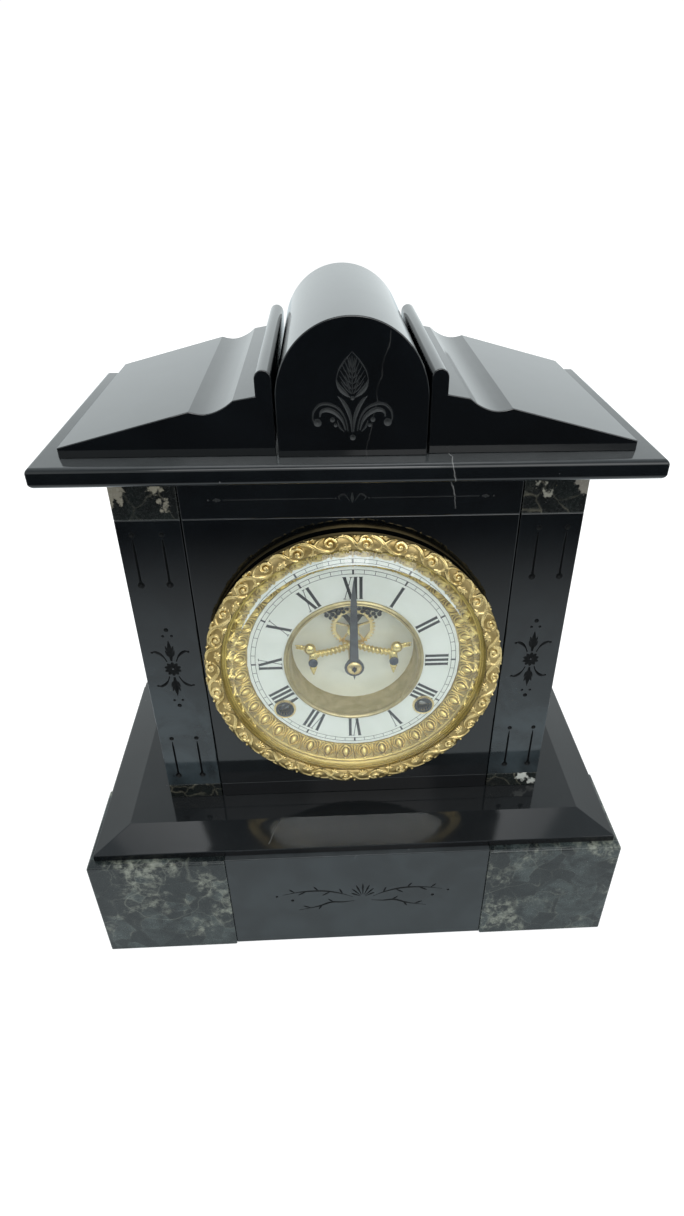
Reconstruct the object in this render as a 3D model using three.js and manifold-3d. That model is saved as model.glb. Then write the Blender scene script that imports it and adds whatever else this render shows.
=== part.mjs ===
// Black slate mantel clock with marble corner blocks, a gilt dial and a visible escapement.
// Millimetres, +X right, +Y back, +Z up. The clock is built with the front of its body at y = 0.
import * as THREE from "three";
import { mergeVertices } from "three/addons/utils/BufferGeometryUtils.js";
import Module from "manifold-3d";

// Case: the slate body and what it stands on
const PANEL_THICKNESS = 16;
const PANEL_BESIDE_HOLE = 11.5;
const PANEL_BELOW_HOLE = 16.4;
const PANEL_ABOVE_HOLE = 14;
const SIDE_THICKNESS = 12;
const BACK_THICKNESS = 12;
const ROOM_BEHIND_GONG = 17.2;
const BASE_HEIGHT = 74.4;
const BASE_SIDE_OVERHANG = 42.1;
const BASE_FRONT_OVERHANG = 43.3;
const BASE_PANEL_HALF_WIDTH = 75;
const BASE_PANEL_RECESS = 1.5;
const BASE_BLOCK_DEPTH = 62;
const BASE_WALL = 18;
const PLINTH_EDGE_HEIGHT = 4;
const PLINTH_RISE = 6.2;
const PLINTH_EDGE_OVERHANG = 38.4;
const PLINTH_TOP_OVERHANG = 20.2;
const FOOT_HEIGHT = 9.9;
const FRIEZE_HEIGHT = 24.7;
const PILASTER_WIDTH = 29.9;
const GROOVE = 0.6;
const CORNICE_THICKNESS = 8.6;
const CORNICE_OVERHANG = 24.5;
const CORNICE_ROUNDING = 1.4;
const EDGE_BREAK = 1.2;

// Pediment: two wedges with a cove and a roll, and the arched block between them
const PEDIMENT_HALF_WIDTH = 122.2;
const PEDIMENT_FRONT_OVERHANG = 12.6;
const PEDIMENT_LOW_EDGE = 4.4;
const CREST_HALF_SPAN = 66.6;
const CREST_HEIGHT = 18.4;
const RIDGE_HALF_SPAN = 48.4;
const RIDGE_HEIGHT = 22.6;
const COVE_DEPTH = 1;
const ROLL_WIDTH = 7;
const ROLL_FOOT_HEIGHT = 24.2;
const ROLL_HEIGHT = 34.2;
const ARCH_HALF_WIDTH = 31.2;
const ARCH_SPRING_HEIGHT = 22.9;
const ARCH_FRONT_OVERHANG = 14.6;
const ARCH_GAP = 1;

// Dial, its glazed bezel and the gilt rings; depths are measured from the body's front
const FRONT_HOLE_CLEARANCE = 0.7;
const SEAT_WALL = 1.4;
const SEAT_PROUD = 5.5;
const SEAT_FLANGE = 1.2;
const PAN_TUBE_ROOM = 0.7;
const PAN_TUBE_WALL = 1.1;
const PAN_THICKNESS = 1.5;
const DIAL_FACE_DEPTH = 2;
const DIAL_THICKNESS = 1.5;
const CHAPTER_WIDTH = 19.3;
const CHAPTER_BORE = 36.5;
const SURROUND_PROUD = 5;
const SURROUND_RIM_WIDTH = 2;
const SURROUND_SLOPE_WIDTH = 1;
const SURROUND_STEP = 1.8;
const SURROUND_LAND_WIDTH = 2.6;
const SURROUND_CONE_WIDTH = 9.8;
const SURROUND_LIP = 0.4;
const SURROUND_WALL = 1.6;
const CENTRE_BEAD_LAP = 0.4;
const CENTRE_BEAD_WIDTH = 2.2;
const CENTRE_BEAD_PROUD = 1.5;
const RECESS_DEPTH = 14;
const RECESS_INSET = 3.3;
const RECESS_WALL = 1;
const RECESS_LEDGE = 1.4;
const CENTRE_DISC_THICKNESS = 1.2;
const SASH_OVERHANG = 3.5;
const SASH_EDGE_PROUD = 8.6;
const SASH_EDGE_HEIGHT = 1.2;
const SASH_FLARE = 1.2;
const SASH_CREST_INSET = 0.5;
const SASH_CREST_PROUD = 10.6;
const SASH_LIP_INSET = 4.6;
const SASH_LIP_PROUD = 9.4;
const SASH_LIP_THICKNESS = 0.9;
const SASH_SKIRT_WALL = 1.3;
const SASH_SKIRT_BACK = 2.6;
const GLASS_SEAT_WIDTH = 1.8;
const GLASS_BEVEL_WIDTH = 9;
const GLASS_BEVEL_RISE = 2.6;
const HINGE_RADIUS = 1.6;
const HINGE_PIN_RADIUS = 0.7;
const HINGE_PROUD = 3;
const HINGE_OFFSET = 2.6;
const KNUCKLE_LENGTH = 4.2;
const EYELET_RADIUS = 4.5;
const WINDING_HOLE_RADIUS = 3.7;

// Back opening, its brass ring and round door
const BACK_RING_ROOM = 6.7;
const BACK_RING_LAP = 3;
const BACK_RING_FLANGE = 6;
const BACK_RING_THICKNESS = 2.2;
const DOOR_INSET = 1.6;
const DOOR_THICKNESS = 1.4;
const DOOR_RIM_WIDTH = 3.2;
const DOOR_HINGE_RADIUS = 1.9;
const DOOR_KNOB_RADIUS = 3.4;
const DOOR_KNOB_LENGTH = 4;

// Clearances
const FIT = 0.3;
const BEZEL_CLEARANCE = 0.4;
const SEAT_GAP = 0.1;
const PIVOT_CLEARANCE = 0.15;
const CUT_OVERRUN = 2;

// Movement frame
const FRONT_PLATE_DEPTH = 24;
const PLATE_THICKNESS = 2;
const PLATE_SPACING = 32;
const PILLAR_MARGIN = 6;
const TOP_PILLAR_MARGIN = 5;
const PLATE_CORNER = 16;
const PLATE_SHOULDER_WIDTH = 26;
const PLATE_SHOULDER_HEIGHT = 32;
const PILLAR_RADIUS = 3;
const SIDE_PILLAR_BEYOND = 18;
const SIDE_PILLAR_Z = 6;
const TOP_PILLAR_X = 24;
const TOP_PILLAR_Z = 35;
const BOTTOM_PILLAR_BELOW = 20.5;
const UPPER_FOOT_X = 33;
const UPPER_FOOT_Z = 24;
const LOWER_FOOT_X = 22;
const LOWER_FOOT_Z = -46;
const PIVOT_END_GAP = 0.5;
const STRAP_WIDTH = 8;
const STRAP_THICKNESS = 2;
const STRAP_INSET = 4.3;
const STRAP_ANGLE = 55;

// Wheels: pitch radii follow from the tooth counts and these distances
const TOOTH_HEIGHT_SHARE = 0.7;
const MESH_DEPTH_SHARE = 0.5;
const GREAT_WHEEL_OFF_CENTRE = 13.65;
const WINDING_DROP = 29.5;
const GREAT_TEETH = 48;
const GREAT_PINION_LEAVES = 8;
const GREAT_PITCH_RADIUS = 24.35;
const SECOND_TEETH = 48;
const SECOND_PITCH_RADIUS = 20.4;
const SECOND_PINION_LEAVES = 8;
const CENTRE_TEETH = 72;
const CENTRE_PITCH_RADIUS = 14;
const THIRD_PINION_LEAVES = 6;
const THIRD_TEETH = 78;
const THIRD_PITCH_RADIUS = 12.9;
const ESCAPE_PINION_LEAVES = 6;
const ESCAPE_HEIGHT = 15.7;
const ESCAPE_TEETH = 36;
const ESCAPE_RADIUS = 11.8;
const ESCAPE_ROOT_RADIUS = 10.5;
const ESCAPE_RIM_INNER = 9.3;
const ESCAPE_HUB_RADIUS = 2;
const ESCAPE_CROSSINGS = 5;
const ESCAPE_ARM_WIDTH = 0.9;
const PIN_WHEEL_TEETH = 48;
const PIN_WHEEL_PITCH_RADIUS = 14.3;
const PIN_COUNT = 8;
const PIN_CIRCLE_RADIUS = 10;
const PIN_RADIUS = 0.8;
const LOCKING_TEETH = 48;
const LOCKING_PITCH_RADIUS = 11.5;
const LOCKING_PINION_LEAVES = 6;
const FLY_PINION_LEAVES = 6;
const FLY_RADIUS = 10.5;
const FLY_THICKNESS = 0.6;
const WHEEL_THICKNESS = 1.2;
const PINION_MARGIN = 0.6;
const ARBOR_RADIUS = 0.8;
const CROSSING_COUNT = 4;
const CROSSING_ARM = 2.6;
const WHEEL_RIM = 2.2;
const WHEEL_HUB_RADIUS = 4;
const CENTRE_WHEEL_DEPTH = 27.6;
const STRIKE_SECOND_DEPTH = 30;
const TIME_SECOND_DEPTH = 32.6;
const THIRD_WHEEL_DEPTH = 37.6;
const GREAT_WHEEL_DEPTH = 37;
const LOCKING_WHEEL_DEPTH = 28;
const PIN_WHEEL_DEPTH = 32.6;
const PIN_LENGTH = 2.8;
const PIN_WHEEL_BEARING = 139;
const LOCKING_BEARING = 124.4;
const FLY_BEARING = 53;
const FLY_FRONT_DEPTH = 41;
const FLY_LENGTH = 12;

// Barrels, mainsprings and winding arbors
const GREAT_WHEEL_THICKNESS = 2.4;
const BARREL_RADIUS = 20;
const BARREL_DEPTH = 17;
const BARREL_WALL = 1.4;
const WINDING_ARBOR_RADIUS = 2.4;
const WINDING_SQUARE = 3.6;
const WINDING_SQUARE_FRONT = 4.6;
const RATCHET_DEPTH = 21.4;
const RATCHET_THICKNESS = 1.6;
const RATCHET_TEETH = 18;
const RATCHET_RADIUS = 7;
const RATCHET_TOOTH = 1.2;
const CLICK_WIDTH = 2.4;
const CLICK_LENGTH = 9;
const SPRING_THICKNESS = 0.6;
const SPRING_HEIGHT = 12;
const SPRING_TURNS = 5;
const SPRING_EYE_RADIUS = 3.4;

// Motion work and hands
const MOTION_DISTANCE = 13.5;
const CANNON_LEAVES = 12;
const MINUTE_WHEEL_TEETH = 36;
const MINUTE_PINION_LEAVES = 10;
const HOUR_WHEEL_TEETH = 40;
const HOUR_WHEEL_DEPTH = 18.3;
const MINUTE_WHEEL_DEPTH = 20.4;
const MOTION_WHEEL_THICKNESS = 1;
const CANNON_RADIUS = 1.7;
const HOUR_PIPE_RADIUS = 2.7;
const HAND_THICKNESS = 0.8;
const MINUTE_HAND_PROUD = 3.6;
const HOUR_HAND_PROUD = 1.4;
const MINUTE_HAND_LENGTH = 51.5;
const MINUTE_HAND_WIDTH = 4;
const HOUR_HAND_LENGTH = 37;
const HOUR_HAND_WIDTH = 4.8;
const HAND_TAIL_LENGTH = 7.6;
const MINUTE_BOSS_RADIUS = 5.2;
const HOUR_BOSS_RADIUS = 4.4;
const NUT_RADIUS = 3.9;
const NUT_THICKNESS = 1.2;

// Escapement, bridge and pendulum
const PALLET_HEIGHT = 30.4;
const PALLET_DEPTH = 13.2;
const PALLET_THICKNESS = 1.4;
const PALLET_ARM_SPAN = 13.2;
const PALLET_ARM_DROP = 3;
const PALLET_ARM_WIDTH = 2.4;
const PALLET_CURL_RADIUS = 2;
const PALLET_PIN_RADIUS = 0.6;
const PALLET_PIN_GAP = 0.8;
const PALLET_PIN_BEARING = 42;
const ESCAPE_WHEEL_DEPTH = 11;
const COCK_HALF_SPAN = 5.6;
const COCK_HEIGHT = 8;
const COCK_ARM_WIDTH = 2.6;
const BRIDGE_DEPTH = 7.2;
const BRIDGE_THICKNESS = 2;
const BRIDGE_ARM_WIDTH = 2.4;
const BRIDGE_HALF_SPAN = 21.6;
const BRIDGE_SCREW_HEIGHT = -3.4;
const BRIDGE_CENTRE_HEIGHT = 6.6;
const BRIDGE_FOOT_RADIUS = 2.3;
const BRIDGE_BALL_RADIUS = 2.8;
const BRIDGE_WING_LENGTH = 6;
const BRIDGE_DROP_LENGTH = 5.4;
const CRUTCH_BEHIND_PLATE = 2;
const CRUTCH_LENGTH = 38;
const CRUTCH_WIDTH = 2.4;
const CRUTCH_THICKNESS = 1.2;
const CRUTCH_FORK_LENGTH = 11;
const PENDULUM_BEHIND_PLATE = 10;
const BOB_ABOVE_FLOOR = 21.7;
const PENDULUM_EYE_RADIUS = 2.8;
const PENDULUM_ROD_RADIUS = 1;
const SUSPENSION_PIN_RADIUS = 0.9;
const SUSPENSION_ARM_HEIGHT = 6;
const SUSPENSION_ARM_THICKNESS = 3;
const SUSPENSION_CHEEK = 1.2;
const SUSPENSION_GAP = 1.6;
const BOB_RADIUS = 13.5;
const BOB_THICKNESS = 9;
const RATING_NUT_HEIGHT = 2.4;
const RATING_NUT_RADIUS = 2.6;

// Striking
const HAMMER_BEYOND = 14;
const HAMMER_Z = -3.5;
const HAMMER_ARM_THICKNESS = 3;
const HAMMER_HEAD_RADIUS = 5;
const HAMMER_HEAD_LENGTH = 14;
const HAMMER_GAP = 1.5;
const GONG_DROP = 43;
const GONG_BEHIND_PENDULUM = 22;
const GONG_TURNS = 4;
const GONG_START_RADIUS = 9;
const GONG_END_RADIUS = 43;
const GONG_WIRE_WIDTH = 1.6;
const GONG_WIRE_DEPTH = 3.2;
const GONG_BLOCK_HALF_HEIGHT = 3.4;
const GONG_CLEARANCE = 1.2;
const STAND_POST_HALF_WIDTH = 4;
const STAND_POST_THICKNESS = 4;
const STAND_FOOT_HALF_WIDTH = 16;
const STAND_FOOT_THICKNESS = 3.4;
const STAND_FOOT_DEPTH = 18;

// Facets round a circle
const RING_FACETS = 36;
const DRUM_FACETS = 16;
const ROUND_FACETS = 12;
const THIN_FACETS = 8;
const GONG_FACETS = 16;

// Levels and places worked out from the sizes above
const CHAPTER_RADIUS = CHAPTER_BORE + CHAPTER_WIDTH;
const CENTRE_BEAD_RADIUS = CHAPTER_BORE + CENTRE_BEAD_LAP;
const RECESS_RADIUS = CHAPTER_BORE - RECESS_INSET;
const SURROUND_CONE_RADIUS = CHAPTER_RADIUS + SURROUND_CONE_WIDTH;
const SURROUND_STEP_RADIUS = SURROUND_CONE_RADIUS + SURROUND_LAND_WIDTH;
const SURROUND_RADIUS = SURROUND_STEP_RADIUS + SURROUND_SLOPE_WIDTH + SURROUND_RIM_WIDTH;
const SEAT_RADIUS = SURROUND_RADIUS + BEZEL_CLEARANCE + SEAT_WALL;
const SASH_RADIUS = SEAT_RADIUS + SASH_OVERHANG;
const SASH_CREST_RADIUS = SEAT_RADIUS - SASH_CREST_INSET;
const SASH_LIP_RADIUS = SEAT_RADIUS - SASH_LIP_INSET;
const PAN_TUBE_RADIUS = SURROUND_CONE_RADIUS + PAN_TUBE_ROOM;
const STRAP_RADIUS = PAN_TUBE_RADIUS - STRAP_INSET;
const FRONT_HOLE_RADIUS = PAN_TUBE_RADIUS + FRONT_HOLE_CLEARANCE;
const BACK_RING_BORE = PAN_TUBE_RADIUS + BACK_RING_ROOM;
const BACK_HOLE_RADIUS = BACK_RING_BORE + BACK_RING_LAP;
const BACK_RING_RADIUS = BACK_HOLE_RADIUS + BACK_RING_FLANGE;
const DOOR_RADIUS = BACK_RING_RADIUS - DOOR_INSET;
const PLINTH_TOP = BASE_HEIGHT + PLINTH_EDGE_HEIGHT + PLINTH_RISE;
const FOOT_TOP = PLINTH_TOP + FOOT_HEIGHT;
const DIAL_HEIGHT = FOOT_TOP + PANEL_BELOW_HOLE + FRONT_HOLE_RADIUS;
const SHAFT_TOP = DIAL_HEIGHT + FRONT_HOLE_RADIUS + PANEL_ABOVE_HOLE;
const CORNICE_BOTTOM = SHAFT_TOP + FRIEZE_HEIGHT;
const CORNICE_TOP = CORNICE_BOTTOM + CORNICE_THICKNESS;
const PANEL_HALF_WIDTH = FRONT_HOLE_RADIUS + PANEL_BESIDE_HOLE;
const BODY_HALF_WIDTH = PANEL_HALF_WIDTH + GROOVE + PILASTER_WIDTH;
const WINDING_HALF_SPACING = GREAT_PITCH_RADIUS + GREAT_WHEEL_OFF_CENTRE;
const SIDE_PILLAR_X = WINDING_HALF_SPACING + SIDE_PILLAR_BEYOND;
const BOTTOM_PILLAR_Z = -WINDING_DROP - BOTTOM_PILLAR_BELOW;
const PLATE_HALF_WIDTH = SIDE_PILLAR_X + PILLAR_MARGIN;
const PLATE_BOTTOM = PILLAR_MARGIN - BOTTOM_PILLAR_Z;
const PLATE_TOP = TOP_PILLAR_Z + TOP_PILLAR_MARGIN;
const HAMMER_X = -WINDING_HALF_SPACING - HAMMER_BEYOND;
const BACK_PLATE_DEPTH = FRONT_PLATE_DEPTH + PLATE_THICKNESS + PLATE_SPACING;
const BACK_PLATE_BACK = BACK_PLATE_DEPTH + PLATE_THICKNESS;
const CRUTCH_DEPTH = BACK_PLATE_BACK + CRUTCH_BEHIND_PLATE;
const PENDULUM_DEPTH = BACK_PLATE_BACK + PENDULUM_BEHIND_PLATE;
const PENDULUM_LENGTH = DIAL_HEIGHT + PALLET_HEIGHT - PLINTH_TOP - BOB_ABOVE_FLOOR;
const GONG_DEPTH = PENDULUM_DEPTH + GONG_BEHIND_PENDULUM;
const GONG_POST_FRONT = GONG_DEPTH + GONG_WIRE_DEPTH / 2 + GONG_CLEARANCE;
const GONG_POST_BACK = GONG_POST_FRONT + STAND_POST_THICKNESS;
const BODY_DEPTH = GONG_POST_BACK + ROOM_BEHIND_GONG + BACK_THICKNESS;
const ARBOR_FRONT = FRONT_PLATE_DEPTH + PIVOT_END_GAP;
const ARBOR_BACK = BACK_PLATE_BACK - PIVOT_END_GAP;
const PAN_FACE = DIAL_FACE_DEPTH + DIAL_THICKNESS;
const PAN_BACK = PAN_FACE + PAN_THICKNESS;
const DISC_FACE = DIAL_FACE_DEPTH + RECESS_DEPTH;
const DISC_BACK = DISC_FACE + CENTRE_DISC_THICKNESS;
const FULL_TURN = 2 * Math.PI;

const wasm = await Module();
wasm.setup();

// Materials
function finish(color, roughness, metalness) {
  return new THREE.MeshStandardMaterial({ color, roughness, metalness });
}
const slate = finish(0x15171a, 0.18, 0);
const greenMarble = finish(0x39433c, 0.3, 0);
const gilt = finish(0xc9a24a, 0.35, 1);
const brass = finish(0xb08d45, 0.4, 1);
const steel = finish(0x8a8c90, 0.4, 1);
const blued = finish(0x23272e, 0.35, 1);
const iron = finish(0x2b2b2c, 0.6, 1);
const enamel = finish(0xeeeee8, 0.25, 0);
const glass = finish(0xf2f6f4, 0.03, 0);

// A geometry as a solid: positions only, shared corners merged, collapsed facets dropped
function solid(geometry) {
  const bare = new THREE.BufferGeometry();
  bare.setAttribute("position", geometry.getAttribute("position"));
  if (geometry.index) bare.setIndex(geometry.index);
  const merged = mergeVertices(bare);
  const corners = merged.index.array;
  const kept = [];
  for (let i = 0; i < corners.length; i += 3) {
    const [a, b, c] = [corners[i], corners[i + 1], corners[i + 2]];
    if (a !== b && b !== c && c !== a) kept.push(a, b, c);
  }
  return new wasm.Manifold(new wasm.Mesh({
    numProp: 3,
    vertProperties: new Float32Array(merged.getAttribute("position").array),
    triVerts: new Uint32Array(kept),
  }));
}

function geometryOf(body) {
  const mesh = body.getMesh();
  const geometry = new THREE.BufferGeometry();
  geometry.setAttribute("position", new THREE.BufferAttribute(mesh.vertProperties, 3));
  geometry.setIndex(new THREE.BufferAttribute(mesh.triVerts, 1));
  return geometry;
}

function join(first, ...others) {
  let body = solid(first);
  for (const other of others) body = body.add(solid(other));
  return geometryOf(body);
}

function cut(first, ...tools) {
  let body = solid(first);
  for (const tool of tools) body = body.subtract(solid(tool));
  return geometryOf(body);
}

// Basic shapes
function box(x0, x1, y0, y1, z0, z1) {
  const geometry = new THREE.BoxGeometry(x1 - x0, y1 - y0, z1 - z0);
  return geometry.translate((x0 + x1) / 2, (y0 + y1) / 2, (z0 + z1) / 2);
}

// A cylinder along Y
function rod(radius, y0, y1, x = 0, z = 0, facets = ROUND_FACETS) {
  const geometry = new THREE.CylinderGeometry(radius, radius, y1 - y0, facets);
  return geometry.translate(x, (y0 + y1) / 2, z);
}

// A cylinder along Z
function post(radius, z0, z1, x, y, facets = ROUND_FACETS) {
  const geometry = new THREE.CylinderGeometry(radius, radius, z1 - z0, facets);
  return geometry.rotateX(Math.PI / 2).translate(x, y, (z0 + z1) / 2);
}

// A cylinder along X
function bar(radius, x0, x1, y, z, facets = ROUND_FACETS) {
  const geometry = new THREE.CylinderGeometry(radius, radius, x1 - x0, facets);
  return geometry.rotateZ(Math.PI / 2).translate((x0 + x1) / 2, y, z);
}

// A profile of [radius, depth] points turned about the Y axis
function turned(profile, facets = RING_FACETS) {
  let area = 0;
  profile.forEach(([r, y], i) => {
    const [rn, yn] = profile[(i + 1) % profile.length];
    area += r * yn - rn * y;
  });
  const points = profile.map(([r, y]) => new THREE.Vector2(r, y));
  const openOnAxis = points[0].x === 0 && points[points.length - 1].x === 0;
  if (!openOnAxis) points.push(points[0].clone());
  if (area < 0) points.reverse();
  return new THREE.LatheGeometry(points, facets);
}

// An outline of [x, z] points, with holes, extruded from y0 back to y1
function slab(outline, y0, y1, holes = []) {
  const points = outline.map(([x, z]) => new THREE.Vector2(x, z));
  if (THREE.ShapeUtils.isClockWise(points)) points.reverse();
  const shape = new THREE.Shape(points);
  for (const hole of holes) {
    shape.holes.push(new THREE.Path(hole.map(([x, z]) => new THREE.Vector2(x, z))));
  }
  const geometry = new THREE.ExtrudeGeometry(shape, { depth: y1 - y0, bevelEnabled: false });
  return geometry.rotateX(Math.PI / 2).translate(0, y1, 0);
}

function circle(radius, x = 0, z = 0, facets = ROUND_FACETS) {
  const points = [];
  for (let i = 0; i < facets; i += 1) {
    const angle = (i / facets) * FULL_TURN;
    points.push([x + radius * Math.sin(angle), z + radius * Math.cos(angle)]);
  }
  return points;
}

// A block whose plan is a rectangle at each level: [x0, x1, y0, y1, z], from the bottom up
function stacked(levels) {
  const positions = [];
  const quad = (a, b, c, d) => positions.push(...a, ...b, ...c, ...a, ...c, ...d);
  const ring = ([x0, x1, y0, y1, z]) => [[x0, y0, z], [x1, y0, z], [x1, y1, z], [x0, y1, z]];
  for (let i = 0; i + 1 < levels.length; i += 1) {
    const [low, high] = [ring(levels[i]), ring(levels[i + 1])];
    for (let k = 0; k < 4; k += 1) quad(low[k], low[(k + 1) % 4], high[(k + 1) % 4], high[k]);
  }
  const [bottom, top] = [ring(levels[0]), ring(levels[levels.length - 1])];
  quad(bottom[3], bottom[2], bottom[1], bottom[0]);
  quad(...top);
  const geometry = new THREE.BufferGeometry();
  return geometry.setAttribute("position", new THREE.Float32BufferAttribute(positions, 3));
}

// Toothed shapes. Angles are clockwise from up, as seen from the front.
function toothed(teeth, tipRadius, rootRadius, phase = 0) {
  const points = [];
  for (let i = 0; i < 2 * teeth; i += 1) {
    const radius = i % 2 === 0 ? tipRadius : rootRadius;
    const angle = phase + (i / (2 * teeth)) * FULL_TURN;
    points.push([radius * Math.sin(angle), radius * Math.cos(angle)]);
  }
  return points;
}

// Tip and root radii of a wheel whose teeth are cut for a given pitch circle
function toothRadii(teeth, pitchRadius) {
  const pitch = (FULL_TURN * pitchRadius) / teeth;
  const height = pitch * TOOTH_HEIGHT_SHARE;
  const tip = pitchRadius + (height * MESH_DEPTH_SHARE) / 2;
  return [tip, tip - height];
}

// Pitch radius of a pinion that runs with a wheel
function matingRadius(leaves, teeth, pitchRadius) {
  return (pitchRadius * leaves) / teeth;
}

// Windows between a wheel's hub and rim, leaving straight arms
function crossings(count, inner, outer, armWidth) {
  const windows = [];
  for (let i = 0; i < count; i += 1) {
    const middle = ((i + 0.5) / count) * FULL_TURN;
    const half = FULL_TURN / count / 2;
    const innerHalf = half - Math.asin(armWidth / 2 / inner);
    const outerHalf = half - Math.asin(armWidth / 2 / outer);
    const corner = (radius, angle) => [radius * Math.sin(angle), radius * Math.cos(angle)];
    windows.push([
      corner(inner, middle - innerHalf),
      corner(outer, middle - outerHalf),
      corner(outer, middle),
      corner(outer, middle + outerHalf),
      corner(inner, middle + innerHalf),
    ]);
  }
  return windows;
}

// A thin wheel with pointed teeth
function wheel(teeth, pitchRadius, depth, thickness = WHEEL_THICKNESS, crossed = true) {
  const [tip, root] = toothRadii(teeth, pitchRadius);
  const windows = crossed
    ? crossings(CROSSING_COUNT, WHEEL_HUB_RADIUS, root - WHEEL_RIM, CROSSING_ARM)
    : [];
  return slab(toothed(teeth, tip, root), depth, depth + thickness, windows);
}

// A pinion a little longer than the wheel that it runs with
function pinion(leaves, pitchRadius, wheelDepth, phase, wheelThickness = WHEEL_THICKNESS) {
  const [tip, root] = toothRadii(leaves, pitchRadius);
  return slab(toothed(leaves, tip, root, phase), wheelDepth - PINION_MARGIN,
    wheelDepth + wheelThickness + PINION_MARGIN);
}

// The turn that puts a pinion in mesh with a wheel, both at rest.
// bearing is the direction from the wheel to the pinion, clockwise from up.
function meshPhase(wheelTeeth, leaves, bearing, wheelPhase = 0) {
  const offset = ((wheelPhase - bearing) / FULL_TURN) * wheelTeeth;
  return bearing + Math.PI * (1 + (1 - 2 * offset) / leaves);
}

function bearingOf(from, to) {
  return Math.atan2(to[0] - from[0], to[1] - from[1]);
}

// The point at given distances from two others, on the chosen side of the line between them
function meet(a, b, fromA, fromB, side) {
  const [dx, dz] = [b[0] - a[0], b[1] - a[1]];
  const span = Math.hypot(dx, dz);
  const along = (fromA * fromA - fromB * fromB + span * span) / (2 * span);
  const off = side * Math.sqrt(fromA * fromA - along * along);
  return [a[0] + (dx * along - dz * off) / span, a[1] + (dz * along + dx * off) / span];
}

function away(from, distance, degrees) {
  const angle = THREE.MathUtils.degToRad(degrees);
  return [from[0] + distance * Math.cos(angle), from[1] + distance * Math.sin(angle)];
}

// Pitch radii of the pinions and the places of the arbors, from the dial's centre
const greatPinionRadius = matingRadius(GREAT_PINION_LEAVES, GREAT_TEETH, GREAT_PITCH_RADIUS);
const secondPinionRadius = matingRadius(SECOND_PINION_LEAVES, SECOND_TEETH, SECOND_PITCH_RADIUS);
const thirdPinionRadius = matingRadius(THIRD_PINION_LEAVES, CENTRE_TEETH, CENTRE_PITCH_RADIUS);
const escapePinionRadius = matingRadius(ESCAPE_PINION_LEAVES, THIRD_TEETH, THIRD_PITCH_RADIUS);
const lockingPinionRadius = matingRadius(
  LOCKING_PINION_LEAVES, PIN_WHEEL_TEETH, PIN_WHEEL_PITCH_RADIUS);
const flyPinionRadius = matingRadius(FLY_PINION_LEAVES, LOCKING_TEETH, LOCKING_PITCH_RADIUS);
const cannonPitchRadius = (MOTION_DISTANCE * CANNON_LEAVES) / (CANNON_LEAVES + MINUTE_WHEEL_TEETH);
const minutePitchRadius = MOTION_DISTANCE - cannonPitchRadius;
const minutePinionRadius =
  (MOTION_DISTANCE * MINUTE_PINION_LEAVES) / (MINUTE_PINION_LEAVES + HOUR_WHEEL_TEETH);
const hourPitchRadius = MOTION_DISTANCE - minutePinionRadius;

const centre = [0, 0];
const escapeAt = [0, ESCAPE_HEIGHT];
const palletsAt = [0, PALLET_HEIGHT];
const timeBarrelAt = [WINDING_HALF_SPACING, -WINDING_DROP];
const strikeBarrelAt = [-WINDING_HALF_SPACING, -WINDING_DROP];
const greatToSecond = GREAT_PITCH_RADIUS + greatPinionRadius;
const secondToNext = SECOND_PITCH_RADIUS + secondPinionRadius;
const secondAt = meet(timeBarrelAt, centre, greatToSecond, secondToNext, -1);
const strikeSecondAt = meet(strikeBarrelAt, centre, greatToSecond, secondToNext, -1);
const thirdAt = meet(centre, escapeAt, CENTRE_PITCH_RADIUS + thirdPinionRadius,
  THIRD_PITCH_RADIUS + escapePinionRadius, 1);
const pinWheelAt = away(strikeSecondAt, secondToNext, PIN_WHEEL_BEARING);
const lockingAt = away(pinWheelAt, PIN_WHEEL_PITCH_RADIUS + lockingPinionRadius, LOCKING_BEARING);
const flyAt = away(lockingAt, LOCKING_PITCH_RADIUS + flyPinionRadius, FLY_BEARING);
const hammerAt = [HAMMER_X, HAMMER_Z];
const minuteWheelAt = [0, -MOTION_DISTANCE];

// The scene: the clock, and inside it a group centred on the dial
const clock = new THREE.Group();
const dial = new THREE.Group();
dial.position.set(0, 0, DIAL_HEIGHT);
clock.add(dial);

function place(parent, name, geometry, material, [x, z] = centre) {
  const mesh = new THREE.Mesh(geometry, material);
  mesh.name = name;
  mesh.position.set(x, 0, z);
  parent.add(mesh);
}

function mirrored(geometry) {
  return geometryOf(solid(geometry).mirror([1, 0, 0]));
}

function placePair(name, leftGeometry, material) {
  place(clock, `${name}_left`, leftGeometry, material);
  place(clock, `${name}_right`, mirrored(leftGeometry), material);
}

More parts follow.
